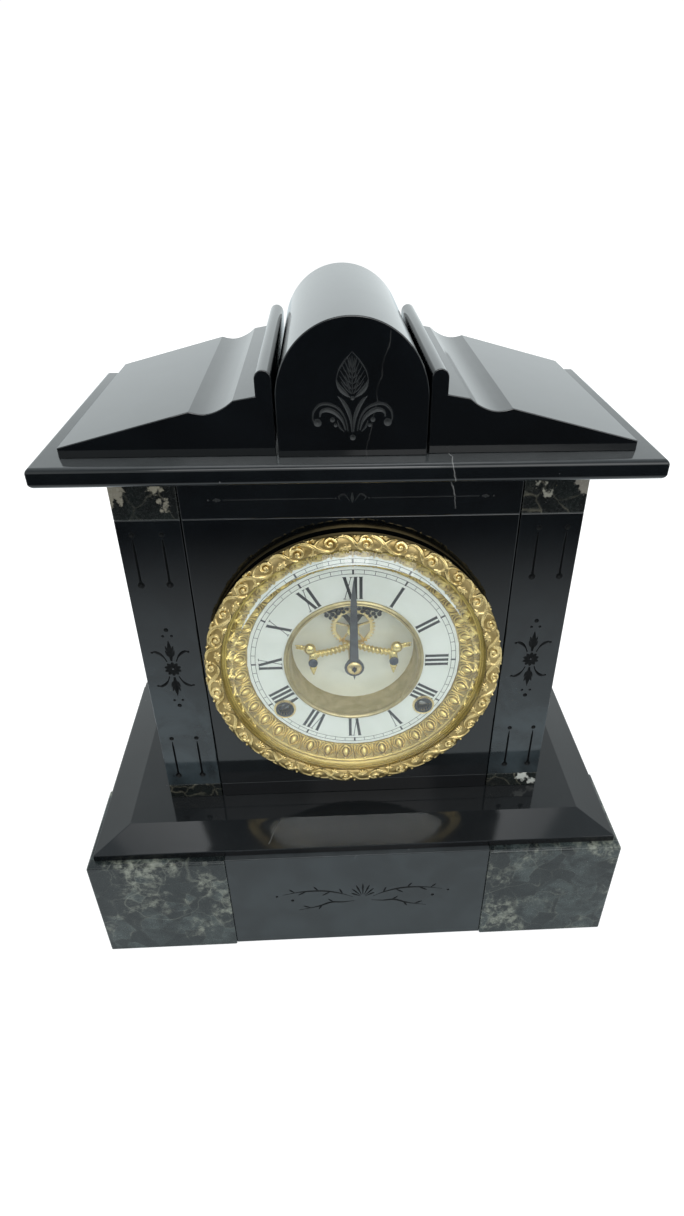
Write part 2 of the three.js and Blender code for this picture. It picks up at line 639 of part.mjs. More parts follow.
// Base: slate panel between two marble corner blocks, with a hollow slate carcass behind
function addBase() {
  const halfWidth = BODY_HALF_WIDTH + BASE_SIDE_OVERHANG;
  const front = -BASE_FRONT_OVERHANG;
  const panelFront = front + BASE_PANEL_RECESS;
  const panelBack = panelFront + PANEL_THICKNESS;
  const blockBack = front + BASE_BLOCK_DEPTH;
  const carcassHalf = halfWidth - BASE_PANEL_RECESS;
  place(clock, "base_front_panel",
    box(-BASE_PANEL_HALF_WIDTH, BASE_PANEL_HALF_WIDTH, panelFront, panelBack, 0, BASE_HEIGHT), slate);
  const block = stacked([
    [-halfWidth, -BASE_PANEL_HALF_WIDTH, front, blockBack, 0],
    [-halfWidth, -BASE_PANEL_HALF_WIDTH, front, blockBack, BASE_HEIGHT - EDGE_BREAK],
    [-halfWidth + EDGE_BREAK, -BASE_PANEL_HALF_WIDTH, front + EDGE_BREAK, blockBack, BASE_HEIGHT],
  ]);
  placePair("base_block", block, greenMarble);
  const outer = join(
    box(-carcassHalf, carcassHalf, blockBack, BODY_DEPTH, 0, BASE_HEIGHT),
    box(-BASE_PANEL_HALF_WIDTH, BASE_PANEL_HALF_WIDTH, panelBack, BODY_DEPTH, 0, BASE_HEIGHT));
  const lid = BASE_HEIGHT - BASE_WALL;
  const hollow = join(
    box(-carcassHalf + BASE_WALL, carcassHalf - BASE_WALL, blockBack + BASE_WALL,
      BODY_DEPTH - BASE_WALL, -CUT_OVERRUN, lid),
    box(-BASE_PANEL_HALF_WIDTH + BASE_WALL, BASE_PANEL_HALF_WIDTH - BASE_WALL,
      panelBack + BASE_WALL, BODY_DEPTH - BASE_WALL, -CUT_OVERRUN, lid));
  place(clock, "base_core", cut(outer, hollow), slate);
}

// Plinth slab: a short upright edge, then a wide chamfer at the front and sides
function addPlinth() {
  const edge = BODY_HALF_WIDTH + PLINTH_EDGE_OVERHANG;
  const top = BODY_HALF_WIDTH + PLINTH_TOP_OVERHANG;
  const edgeTop = BASE_HEIGHT + PLINTH_EDGE_HEIGHT;
  place(clock, "plinth_slab", stacked([
    [-edge, edge, -PLINTH_EDGE_OVERHANG, BODY_DEPTH, BASE_HEIGHT],
    [-edge, edge, -PLINTH_EDGE_OVERHANG, BODY_DEPTH, edgeTop],
    [-top, top, -PLINTH_TOP_OVERHANG, BODY_DEPTH, PLINTH_TOP],
  ]), slate);
}

// Body: foot, shaft and frieze courses at the front, side walls and a back panel
function addBody() {
  const inner = BODY_HALF_WIDTH - PILASTER_WIDTH;
  const course = (z0, z1) => box(-BODY_HALF_WIDTH, -inner, 0, PANEL_THICKNESS, z0, z1);
  const between = (z0, z1) => box(-PANEL_HALF_WIDTH, PANEL_HALF_WIDTH, 0, PANEL_THICKNESS, z0, z1);
  placePair("pilaster_foot", course(PLINTH_TOP, FOOT_TOP), greenMarble);
  placePair("pilaster", course(FOOT_TOP, SHAFT_TOP), slate);
  placePair("capital", course(SHAFT_TOP, CORNICE_BOTTOM), greenMarble);
  place(clock, "foot_rail", between(PLINTH_TOP, FOOT_TOP), slate);
  place(clock, "frieze_rail", between(SHAFT_TOP, CORNICE_BOTTOM), slate);
  const frontHole = rod(FRONT_HOLE_RADIUS, -CUT_OVERRUN, PANEL_THICKNESS + CUT_OVERRUN,
    0, DIAL_HEIGHT, RING_FACETS);
  place(clock, "front_panel", cut(between(FOOT_TOP, SHAFT_TOP), frontHole), slate);
  const sideBack = BODY_DEPTH - BACK_THICKNESS;
  placePair("side_wall", box(-BODY_HALF_WIDTH, -BODY_HALF_WIDTH + SIDE_THICKNESS,
    PANEL_THICKNESS, sideBack, PLINTH_TOP, CORNICE_BOTTOM), slate);
  const backHole = rod(BACK_HOLE_RADIUS, sideBack - CUT_OVERRUN, BODY_DEPTH + CUT_OVERRUN,
    0, DIAL_HEIGHT, RING_FACETS);
  place(clock, "back_panel", cut(box(-BODY_HALF_WIDTH, BODY_HALF_WIDTH, sideBack, BODY_DEPTH,
    PLINTH_TOP, CORNICE_BOTTOM), backHole), slate);
}

function addCornice() {
  const half = BODY_HALF_WIDTH + CORNICE_OVERHANG;
  const softHalf = half - CORNICE_ROUNDING;
  const front = -CORNICE_OVERHANG;
  const softFront = front + CORNICE_ROUNDING;
  place(clock, "cornice_slab", stacked([
    [-softHalf, softHalf, softFront, BODY_DEPTH, CORNICE_BOTTOM],
    [-half, half, front, BODY_DEPTH, CORNICE_BOTTOM + CORNICE_ROUNDING],
    [-half, half, front, BODY_DEPTH, CORNICE_TOP - CORNICE_ROUNDING],
    [-softHalf, softHalf, softFront, BODY_DEPTH, CORNICE_TOP],
  ]), slate);
}

// Pediment: each side rises to a crest, dips in a cove, rises to a ridge and ends in a roll
function addPediment() {
  const rollInner = ARCH_HALF_WIDTH + ARCH_GAP;
  const rollOuter = rollInner + ROLL_WIDTH;
  const coveWidth = CREST_HALF_SPAN - RIDGE_HALF_SPAN;
  const coveShares = [[0.17, 0.75], [0.36, 1], [0.57, 0.2], [0.8, -1.7]];
  const cove = coveShares.map(([acrossShare, dipShare]) => [
    -(CREST_HALF_SPAN - acrossShare * coveWidth),
    CORNICE_TOP + CREST_HEIGHT - dipShare * COVE_DEPTH]);
  const rollRadius = ROLL_WIDTH / 2;
  const rollCentre = -(rollInner + rollRadius);
  const rollSpring = CORNICE_TOP + ROLL_HEIGHT - rollRadius;
  const rollShares = [0, 0.2, 0.4, 0.6, 0.8, 1];
  const rollArc = rollShares.map((share) => [
    rollCentre - rollRadius * Math.cos(share * Math.PI),
    rollSpring + rollRadius * Math.sin(share * Math.PI)]);
  const outline = [
    [-PEDIMENT_HALF_WIDTH, CORNICE_TOP],
    [-PEDIMENT_HALF_WIDTH, CORNICE_TOP + PEDIMENT_LOW_EDGE],
    [-CREST_HALF_SPAN, CORNICE_TOP + CREST_HEIGHT],
    ...cove,
    [-RIDGE_HALF_SPAN, CORNICE_TOP + RIDGE_HEIGHT],
    [-rollOuter, CORNICE_TOP + ROLL_FOOT_HEIGHT],
    ...rollArc,
    [-rollInner, CORNICE_TOP],
  ];
  placePair("pediment", slab(outline, -PEDIMENT_FRONT_OVERHANG, BODY_DEPTH), slate);
  const spring = CORNICE_TOP + ARCH_SPRING_HEIGHT;
  const arch = [[-ARCH_HALF_WIDTH, CORNICE_TOP]];
  const archSteps = 24;
  for (let i = 0; i <= archSteps; i += 1) {
    const angle = Math.PI * (1 - i / archSteps);
    arch.push([ARCH_HALF_WIDTH * Math.cos(angle), spring + ARCH_HALF_WIDTH * Math.sin(angle)]);
  }
  arch.push([ARCH_HALF_WIDTH, CORNICE_TOP]);
  place(clock, "arch_block", slab(arch, -ARCH_FRONT_OVERHANG, BODY_DEPTH), slate);
}

// Knuckles of a hinge whose pin stands upright: the middle one moves, the outer two stay
function knuckle(radius, x, y, z0, z1, webTo, webHalf) {
  const web = box(Math.min(x, webTo), Math.max(x, webTo), y - webHalf, y + webHalf, z0, z1);
  return join(post(radius, z0, z1, x, y), web);
}

// Seat ring, pan, winding eyelets, dial feet and clamping straps, all one brass piece
function addDialPan() {
  const seatInner = SEAT_RADIUS - SEAT_WALL;
  const tubeInner = PAN_TUBE_RADIUS - PAN_TUBE_WALL;
  const ring = turned([
    [SEAT_RADIUS, 0], [SEAT_RADIUS, -SEAT_PROUD], [seatInner, -SEAT_PROUD],
    [seatInner, -SEAT_FLANGE], [tubeInner, -SEAT_FLANGE], [tubeInner, PAN_FACE],
    [CHAPTER_BORE, PAN_FACE], [CHAPTER_BORE, PAN_BACK], [PAN_TUBE_RADIUS, PAN_BACK],
    [PAN_TUBE_RADIUS, 0],
  ]);
  const additions = [];
  for (const side of [-1, 1]) {
    const [x, z] = [side * WINDING_HALF_SPACING, -WINDING_DROP];
    additions.push(rod(EYELET_RADIUS, DIAL_FACE_DEPTH - SEAT_FLANGE / 2, PAN_BACK, x, z, DRUM_FACETS));
    for (const [across, up] of dialFeet) {
      additions.push(rod(PILLAR_RADIUS, PAN_FACE, FRONT_PLATE_DEPTH, side * across, up));
    }
    const strap = box(-STRAP_WIDTH / 2, STRAP_WIDTH / 2, PAN_FACE, BODY_DEPTH,
      STRAP_RADIUS - STRAP_THICKNESS / 2, STRAP_RADIUS + STRAP_THICKNESS / 2);
    additions.push(strap.rotateY(THREE.MathUtils.degToRad(side * STRAP_ANGLE)));
    const reach = side > 0 ? [KNUCKLE_LENGTH / 2 + FIT, 1.5 * KNUCKLE_LENGTH + FIT]
      : [-1.5 * KNUCKLE_LENGTH - FIT, -KNUCKLE_LENGTH / 2 - FIT];
    additions.push(knuckle(HINGE_RADIUS, -SEAT_RADIUS - HINGE_OFFSET, -HINGE_PROUD, ...reach,
      -SEAT_RADIUS + SEAT_WALL / 2, HINGE_PIN_RADIUS));
  }
  additions.push(post(HINGE_PIN_RADIUS, -1.5 * KNUCKLE_LENGTH, 1.5 * KNUCKLE_LENGTH,
    -SEAT_RADIUS - HINGE_OFFSET, -HINGE_PROUD));
  const keyHoles = [-1, 1].map((side) => rod(WINDING_HOLE_RADIUS, -SEAT_PROUD,
    PAN_BACK + CUT_OVERRUN, side * WINDING_HALF_SPACING, -WINDING_DROP, DRUM_FACETS));
  place(dial, "dial_pan", cut(join(ring, ...additions), ...keyHoles), brass);
}

// Cast sash, bevelled glass and the knuckle that swings on the seat ring's pin
function addBezel() {
  const back = -SEAT_PROUD - BEZEL_CLEARANCE;
  const skirtInner = SEAT_RADIUS + BEZEL_CLEARANCE;
  const skirtOuter = skirtInner + SASH_SKIRT_WALL;
  const edgeBack = -SASH_EDGE_PROUD + SASH_EDGE_HEIGHT;
  const glassSeat = SASH_LIP_RADIUS + GLASS_SEAT_WIDTH;
  const lipBack = -SASH_LIP_PROUD + SASH_LIP_THICKNESS;
  const sash = turned([
    [skirtOuter, -SASH_SKIRT_BACK], [skirtOuter, edgeBack + SASH_FLARE],
    [SASH_RADIUS, edgeBack], [SASH_RADIUS, -SASH_EDGE_PROUD],
    [SASH_CREST_RADIUS, -SASH_CREST_PROUD], [SASH_LIP_RADIUS, -SASH_LIP_PROUD],
    [SASH_LIP_RADIUS, lipBack], [glassSeat, lipBack], [glassSeat, back],
    [skirtInner, back], [skirtInner, -SASH_SKIRT_BACK],
  ]);
  const notchHalf = 1.5 * KNUCKLE_LENGTH + 3 * FIT;
  const notch = box(-SASH_RADIUS - CUT_OVERRUN, -skirtInner + CUT_OVERRUN, back, 0,
    -notchHalf, notchHalf);
  const hingeX = -SEAT_RADIUS - HINGE_OFFSET;
  const knuckleHalf = KNUCKLE_LENGTH / 2;
  const web = box(hingeX - HINGE_PIN_RADIUS, hingeX + HINGE_PIN_RADIUS, edgeBack,
    -HINGE_PROUD, -knuckleHalf, knuckleHalf);
  const pinHole = post(HINGE_PIN_RADIUS + PIVOT_CLEARANCE, -knuckleHalf - CUT_OVERRUN,
    knuckleHalf + CUT_OVERRUN, hingeX, -HINGE_PROUD);
  const eye = post(HINGE_RADIUS, -knuckleHalf, knuckleHalf, hingeX, -HINGE_PROUD);
  place(dial, "bezel_ring", cut(join(cut(sash, notch), web, eye), pinHole), gilt);
  const glassRadius = glassSeat - FIT;
  const glassEdge = lipBack + SEAT_GAP;
  place(dial, "bezel_glass", turned([
    [0, back], [glassRadius, back], [glassRadius, glassEdge],
    [SASH_LIP_RADIUS - FIT, glassEdge],
    [SASH_LIP_RADIUS - GLASS_BEVEL_WIDTH, glassEdge - GLASS_BEVEL_RISE],
    [0, glassEdge - GLASS_BEVEL_RISE],
  ]), glass);
}

// Coned surround, enamelled chapter ring, gilt centre ring with its deep wall, and the disc
function addDialPlates() {
  const outer = SURROUND_RADIUS;
  const step = -SURROUND_PROUD + SURROUND_STEP;
  const back = -SEAT_FLANGE - FIT;
  const tubeInner = PAN_TUBE_RADIUS - PAN_TUBE_WALL - FIT;
  const dialEdge = CHAPTER_RADIUS + BEZEL_CLEARANCE;
  place(dial, "dial_surround", turned([
    [outer, -SURROUND_PROUD], [outer - SURROUND_RIM_WIDTH, -SURROUND_PROUD],
    [SURROUND_STEP_RADIUS, step], [SURROUND_CONE_RADIUS, step],
    [dialEdge, DIAL_FACE_DEPTH - SURROUND_LIP], [dialEdge, PAN_FACE - SEAT_GAP],
    [tubeInner, back + SURROUND_WALL], [tubeInner, back], [outer, back],
  ]), gilt);
  const ring = turned([
    [CHAPTER_BORE, DIAL_FACE_DEPTH], [CHAPTER_RADIUS, DIAL_FACE_DEPTH],
    [CHAPTER_RADIUS, PAN_FACE], [CHAPTER_BORE, PAN_FACE],
  ]);
  const eyeletHoles = [-1, 1].map((side) => rod(EYELET_RADIUS + PIVOT_CLEARANCE, 0,
    PAN_FACE + CUT_OVERRUN, side * WINDING_HALF_SPACING, -WINDING_DROP, DRUM_FACETS));
  place(dial, "chapter_ring", cut(ring, ...eyeletHoles), enamel);
  const beadBack = DIAL_FACE_DEPTH - SEAT_GAP;
  const beadFront = DIAL_FACE_DEPTH - CENTRE_BEAD_PROUD;
  const [outerShare, innerShare] = [0.3, 0.75];
  const discSeat = DISC_BACK + SEAT_GAP;
  const ledge = RECESS_RADIUS - RECESS_LEDGE;
  place(dial, "centre_ring", turned([
    [CENTRE_BEAD_RADIUS, beadBack],
    [CENTRE_BEAD_RADIUS - outerShare * CENTRE_BEAD_WIDTH, beadFront],
    [CENTRE_BEAD_RADIUS - innerShare * CENTRE_BEAD_WIDTH, beadFront],
    [RECESS_RADIUS, DISC_FACE], [RECESS_RADIUS, discSeat],
    [ledge, discSeat], [ledge, discSeat + RECESS_WALL],
    [RECESS_RADIUS + RECESS_WALL, discSeat + RECESS_WALL], [CHAPTER_BORE - FIT, beadBack],
  ]), gilt);
  const discHoles = [
    circle(HOUR_PIPE_RADIUS + FIT),
    circle(ARBOR_RADIUS + FIT, ...escapeAt, THIN_FACETS),
    circle(ARBOR_RADIUS + FIT, ...palletsAt, THIN_FACETS),
  ];
  place(dial, "centre_disc",
    slab(circle(RECESS_RADIUS - FIT, 0, 0, RING_FACETS), DISC_FACE, DISC_BACK, discHoles), enamel);
}

// Movement plates. All the arbors run in holes through them.
const dialFeet = [[UPPER_FOOT_X, UPPER_FOOT_Z], [LOWER_FOOT_X, LOWER_FOOT_Z]];
const framePillars = [[-SIDE_PILLAR_X, SIDE_PILLAR_Z], [SIDE_PILLAR_X, SIDE_PILLAR_Z],
  [-TOP_PILLAR_X, TOP_PILLAR_Z], [TOP_PILLAR_X, TOP_PILLAR_Z], [0, BOTTOM_PILLAR_Z]];
const thinArbors = [centre, escapeAt, palletsAt, secondAt, strikeSecondAt, thirdAt,
  pinWheelAt, lockingAt, flyAt, hammerAt];

function plateOutline() {
  const foot = PLATE_HALF_WIDTH - PLATE_CORNER;
  const head = PLATE_HALF_WIDTH - PLATE_SHOULDER_WIDTH;
  const right = [[foot, -PLATE_BOTTOM], [PLATE_HALF_WIDTH, -PLATE_BOTTOM + PLATE_CORNER],
    [PLATE_HALF_WIDTH, PLATE_TOP - PLATE_SHOULDER_HEIGHT], [head, PLATE_TOP]];
  return [...right, ...right.map(([x, z]) => [-x, z]).reverse()];
}

function addPlates() {
  const holes = thinArbors.map((at) => circle(ARBOR_RADIUS + PIVOT_CLEARANCE, ...at, THIN_FACETS));
  for (const at of [timeBarrelAt, strikeBarrelAt]) {
    holes.push(circle(WINDING_ARBOR_RADIUS + PIVOT_CLEARANCE, ...at));
  }
  const plate = (depth) => slab(plateOutline(), depth, depth + PLATE_THICKNESS, holes);
  const stud = rod(ARBOR_RADIUS, HOUR_WHEEL_DEPTH - PIVOT_END_GAP,
    FRONT_PLATE_DEPTH + PLATE_THICKNESS / 2, ...minuteWheelAt, THIN_FACETS);
  const clickFront = RATCHET_DEPTH + PIVOT_CLEARANCE;
  const clicks = [-1, 1].flatMap((side) => {
    const x = side * WINDING_HALF_SPACING;
    const tip = -WINDING_DROP - RATCHET_RADIUS - FIT;
    const root = tip - CLICK_WIDTH / 2;
    const pawl = slab([[x, tip], [x + side * CLICK_LENGTH, root + CLICK_WIDTH / 2],
      [x + side * CLICK_LENGTH, root - CLICK_WIDTH / 2], [x, root]],
    clickFront, clickFront + RATCHET_THICKNESS - FIT);
    const foot = rod(CLICK_WIDTH / 2, clickFront, FRONT_PLATE_DEPTH + PLATE_THICKNESS / 2,
      x + side * (CLICK_LENGTH - CLICK_WIDTH / 2), root);
    return [pawl, foot];
  });
  place(dial, "front_plate", join(plate(FRONT_PLATE_DEPTH), stud, ...clicks), brass);
  const pillars = framePillars.map(([x, z]) => rod(PILLAR_RADIUS,
    FRONT_PLATE_DEPTH + PLATE_THICKNESS, BACK_PLATE_DEPTH + PLATE_THICKNESS / 2, x, z));
  const armBottom = PALLET_HEIGHT + SUSPENSION_ARM_HEIGHT;
  const armHalf = PENDULUM_EYE_RADIUS + SUSPENSION_CHEEK;
  const backCheek = PENDULUM_DEPTH + PENDULUM_EYE_RADIUS / 2 + SUSPENSION_GAP;
  const frontCheek = 2 * PENDULUM_DEPTH - backCheek - SUSPENSION_CHEEK;
  const arm = box(-armHalf, armHalf, BACK_PLATE_BACK - PLATE_THICKNESS / 2,
    backCheek + SUSPENSION_CHEEK, armBottom, armBottom + SUSPENSION_ARM_THICKNESS);
  const cheek = (y) => box(-armHalf / 2, armHalf / 2, y, y + SUSPENSION_CHEEK,
    PALLET_HEIGHT - PENDULUM_EYE_RADIUS, armBottom + SUSPENSION_ARM_THICKNESS / 2);
  const pin = rod(SUSPENSION_PIN_RADIUS, frontCheek + SUSPENSION_CHEEK / 2,
    backCheek + SUSPENSION_CHEEK / 2, ...palletsAt, THIN_FACETS);
  place(dial, "back_plate", join(plate(BACK_PLATE_DEPTH), ...pillars, arm,
    cheek(frontCheek), cheek(backCheek), pin), brass);
}

// Going barrels with their great wheels, mainsprings and winding arbors
function barrel() {
  const bore = WINDING_ARBOR_RADIUS + PIVOT_CLEARANCE;
  const gear = slab(toothed(GREAT_TEETH, ...toothRadii(GREAT_TEETH, GREAT_PITCH_RADIUS)),
    GREAT_WHEEL_DEPTH, GREAT_WHEEL_DEPTH + GREAT_WHEEL_THICKNESS, [circle(bore)]);
  const front = GREAT_WHEEL_DEPTH + GREAT_WHEEL_THICKNESS - BARREL_WALL;
  const back = front + BARREL_DEPTH;
  const inner = BARREL_RADIUS - BARREL_WALL;
  const drum = turned([
    [bore, front], [BARREL_RADIUS, front], [BARREL_RADIUS, back], [bore, back],
    [bore, back - BARREL_WALL], [inner, back - BARREL_WALL], [inner, front + BARREL_WALL],
    [bore, front + BARREL_WALL],
  ], DRUM_FACETS);
  return join(gear, drum);
}

// A flat strip wound in a spiral about the Y axis, as one run of square sections
function spiral(startRadius, endRadius, turns, stepsPerTurn, width, y0, y1) {
  const steps = turns * stepsPerTurn;
  const positions = [];
  const section = (i) => {
    const radius = startRadius + ((endRadius - startRadius) * i) / steps;
    const angle = (i / stepsPerTurn) * FULL_TURN;
    const at = (r, y) => [r * Math.cos(angle), y, r * Math.sin(angle)];
    return [at(radius - width / 2, y0), at(radius + width / 2, y0),
      at(radius + width / 2, y1), at(radius - width / 2, y1)];
  };
  const quad = (a, b, c, d) => positions.push(...a, ...b, ...c, ...a, ...c, ...d);
  for (let i = 0; i < steps; i += 1) {
    const [near, far] = [section(i), section(i + 1)];
    for (let k = 0; k < 4; k += 1) quad(near[k], near[(k + 1) % 4], far[(k + 1) % 4], far[k]);
  }
  quad(...section(0).reverse());
  quad(...section(steps));
  const geometry = new THREE.BufferGeometry();
  return geometry.setAttribute("position", new THREE.Float32BufferAttribute(positions, 3));
}

function mainspring() {
  const room = BARREL_RADIUS - BARREL_WALL - 2 * FIT;
  const middle = GREAT_WHEEL_DEPTH + GREAT_WHEEL_THICKNESS - BARREL_WALL + BARREL_DEPTH / 2;
  return spiral(SPRING_EYE_RADIUS, room - SPRING_THICKNESS, SPRING_TURNS, DRUM_FACETS / 2,
    SPRING_THICKNESS, middle - SPRING_HEIGHT / 2, middle + SPRING_HEIGHT / 2);
}

function windingArbor() {
  const half = WINDING_SQUARE / 2;
  return join(
    rod(WINDING_ARBOR_RADIUS, RATCHET_DEPTH, ARBOR_BACK),
    box(-half, half, WINDING_SQUARE_FRONT, RATCHET_DEPTH + RATCHET_THICKNESS / 2, -half, half),
    slab(toothed(RATCHET_TEETH, RATCHET_RADIUS, RATCHET_RADIUS - RATCHET_TOOTH),
      RATCHET_DEPTH, RATCHET_DEPTH + RATCHET_THICKNESS));
}

function addPower() {
  const sides = { time: timeBarrelAt, strike: strikeBarrelAt };
  for (const [name, at] of Object.entries(sides)) {
    place(dial, `${name}_barrel`, barrel(), brass, at);
    place(dial, `${name}_mainspring`, mainspring(), blued, at);
    place(dial, `${name}_winding_arbor`, windingArbor(), steel, at);
  }
}

function arbor(front = ARBOR_FRONT, back = ARBOR_BACK) {
  return rod(ARBOR_RADIUS, front, back, ...centre, THIN_FACETS);
}

// Going train: barrel, second wheel, centre wheel, third wheel, escape wheel
function addGoingTrain() {
  place(dial, "second_wheel", join(
    wheel(SECOND_TEETH, SECOND_PITCH_RADIUS, TIME_SECOND_DEPTH),
    pinion(GREAT_PINION_LEAVES, greatPinionRadius, GREAT_WHEEL_DEPTH,
      meshPhase(GREAT_TEETH, GREAT_PINION_LEAVES, bearingOf(timeBarrelAt, secondAt)),
      GREAT_WHEEL_THICKNESS),
    arbor()), brass, secondAt);
  place(dial, "centre_wheel", join(
    wheel(CENTRE_TEETH, CENTRE_PITCH_RADIUS, CENTRE_WHEEL_DEPTH),
    pinion(SECOND_PINION_LEAVES, secondPinionRadius, TIME_SECOND_DEPTH,
      meshPhase(SECOND_TEETH, SECOND_PINION_LEAVES, bearingOf(secondAt, centre))),
    arbor(-MINUTE_HAND_PROUD - FIT)), brass, centre);
  place(dial, "third_wheel", join(
    wheel(THIRD_TEETH, THIRD_PITCH_RADIUS, THIRD_WHEEL_DEPTH),
    pinion(THIRD_PINION_LEAVES, thirdPinionRadius, CENTRE_WHEEL_DEPTH,
      meshPhase(CENTRE_TEETH, THIRD_PINION_LEAVES, bearingOf(centre, thirdAt))),
    arbor()), brass, thirdAt);
  const escapeOutline = [];
  const gulletShares = [0.3, 0.7];
  for (let i = 0; i < ESCAPE_TEETH; i += 1) {
    const corners = [[0, ESCAPE_RADIUS], ...gulletShares.map((share) => [share, ESCAPE_ROOT_RADIUS])];
    for (const [share, radius] of corners) {
      const angle = ((i + share) / ESCAPE_TEETH) * FULL_TURN;
      escapeOutline.push([radius * Math.sin(angle), radius * Math.cos(angle)]);
    }
  }
  place(dial, "escape_wheel", join(
    slab(escapeOutline, ESCAPE_WHEEL_DEPTH, ESCAPE_WHEEL_DEPTH + WHEEL_THICKNESS,
      crossings(ESCAPE_CROSSINGS, ESCAPE_HUB_RADIUS, ESCAPE_RIM_INNER, ESCAPE_ARM_WIDTH)),
    pinion(ESCAPE_PINION_LEAVES, escapePinionRadius, THIRD_WHEEL_DEPTH,
      meshPhase(THIRD_TEETH, ESCAPE_PINION_LEAVES, bearingOf(thirdAt, escapeAt))),
    arbor(BRIDGE_DEPTH + PIVOT_END_GAP)), brass, escapeAt);
}

// Pallets: an anchor with curled ends and two pins, on one arbor with the crutch
function addPallets() {
  const half = PALLET_ARM_WIDTH / 2;
  const back = PALLET_DEPTH + PALLET_THICKNESS;
  const [elbowShare, elbowDropShare] = [0.5, 0.1];
  const bearing = THREE.MathUtils.degToRad(PALLET_PIN_BEARING);
  const pinReach = ESCAPE_RADIUS + PALLET_PIN_GAP + PALLET_PIN_RADIUS;
  const pinX = pinReach * Math.sin(bearing);
  const pinZ = ESCAPE_HEIGHT + pinReach * Math.cos(bearing) - PALLET_HEIGHT;
  const prong = PENDULUM_ROD_RADIUS + PIVOT_CLEARANCE;
  const forkOuter = prong + CRUTCH_THICKNESS;
  const [forkTop, forkBottom] = [-CRUTCH_LENGTH + CRUTCH_WIDTH / 2, -CRUTCH_LENGTH - CRUTCH_WIDTH / 2];
  const crutchBack = CRUTCH_DEPTH + CRUTCH_THICKNESS;
  const parts = [
    rod(ARBOR_RADIUS + half, PALLET_DEPTH, back),
    arbor(PALLET_DEPTH, crutchBack),
    box(-CRUTCH_WIDTH / 2, CRUTCH_WIDTH / 2, CRUTCH_DEPTH, crutchBack, -CRUTCH_LENGTH, ARBOR_RADIUS),
    box(-forkOuter, forkOuter, CRUTCH_DEPTH, crutchBack, forkBottom, forkTop),
  ];
  for (const side of [-1, 1]) {
    const elbow = [side * PALLET_ARM_SPAN * elbowShare, -elbowDropShare * PALLET_ARM_DROP];
    const end = [side * PALLET_ARM_SPAN, -PALLET_ARM_DROP];
    const x = side * pinX;
    parts.push(
      slab([[0, half], [elbow[0], elbow[1] + half], [end[0], end[1] + half],
        [end[0], end[1] - half], [elbow[0], elbow[1] - half], [0, -half]], PALLET_DEPTH, back),
      rod(PALLET_CURL_RADIUS, PALLET_DEPTH, back, end[0], end[1] - half),
      box(x - 2 * PALLET_PIN_RADIUS, x + 2 * PALLET_PIN_RADIUS, PALLET_DEPTH, back,
        pinZ - PALLET_PIN_RADIUS, elbow[1]),
      rod(PALLET_PIN_RADIUS, ESCAPE_WHEEL_DEPTH - FIT, PALLET_DEPTH + FIT, x, pinZ, THIN_FACETS));
    const [near, far] = [side * prong, side * forkOuter];
    parts.push(box(Math.min(near, far), Math.max(near, far), CRUTCH_DEPTH,
      CRUTCH_DEPTH + CRUTCH_FORK_LENGTH, forkBottom, forkTop));
  }
  place(dial, "pallets", join(...parts), blued, palletsAt);
}

// Blued cock behind the escape wheel, a V that stands on the disc
function addEscapeCock() {
  const half = COCK_ARM_WIDTH / 2;
  const back = PALLET_DEPTH + PALLET_THICKNESS;
  const parts = [rod(ARBOR_RADIUS + half, PALLET_DEPTH, back)];
  for (const side of [-1, 1]) {
    const x = side * COCK_HALF_SPAN;
    parts.push(
      slab([[-side * half, 0], [x - side * half, COCK_HEIGHT], [x + side * half, COCK_HEIGHT],
        [side * half, 0]], PALLET_DEPTH, back),
      rod(half, PALLET_DEPTH, DISC_FACE, x, COCK_HEIGHT - half));
  }
  const hole = rod(ARBOR_RADIUS + PIVOT_CLEARANCE, PALLET_DEPTH - CUT_OVERRUN,
    DISC_FACE + CUT_OVERRUN, ...centre, THIN_FACETS);
  place(dial, "escape_cock", cut(join(...parts), hole), blued, escapeAt);
}

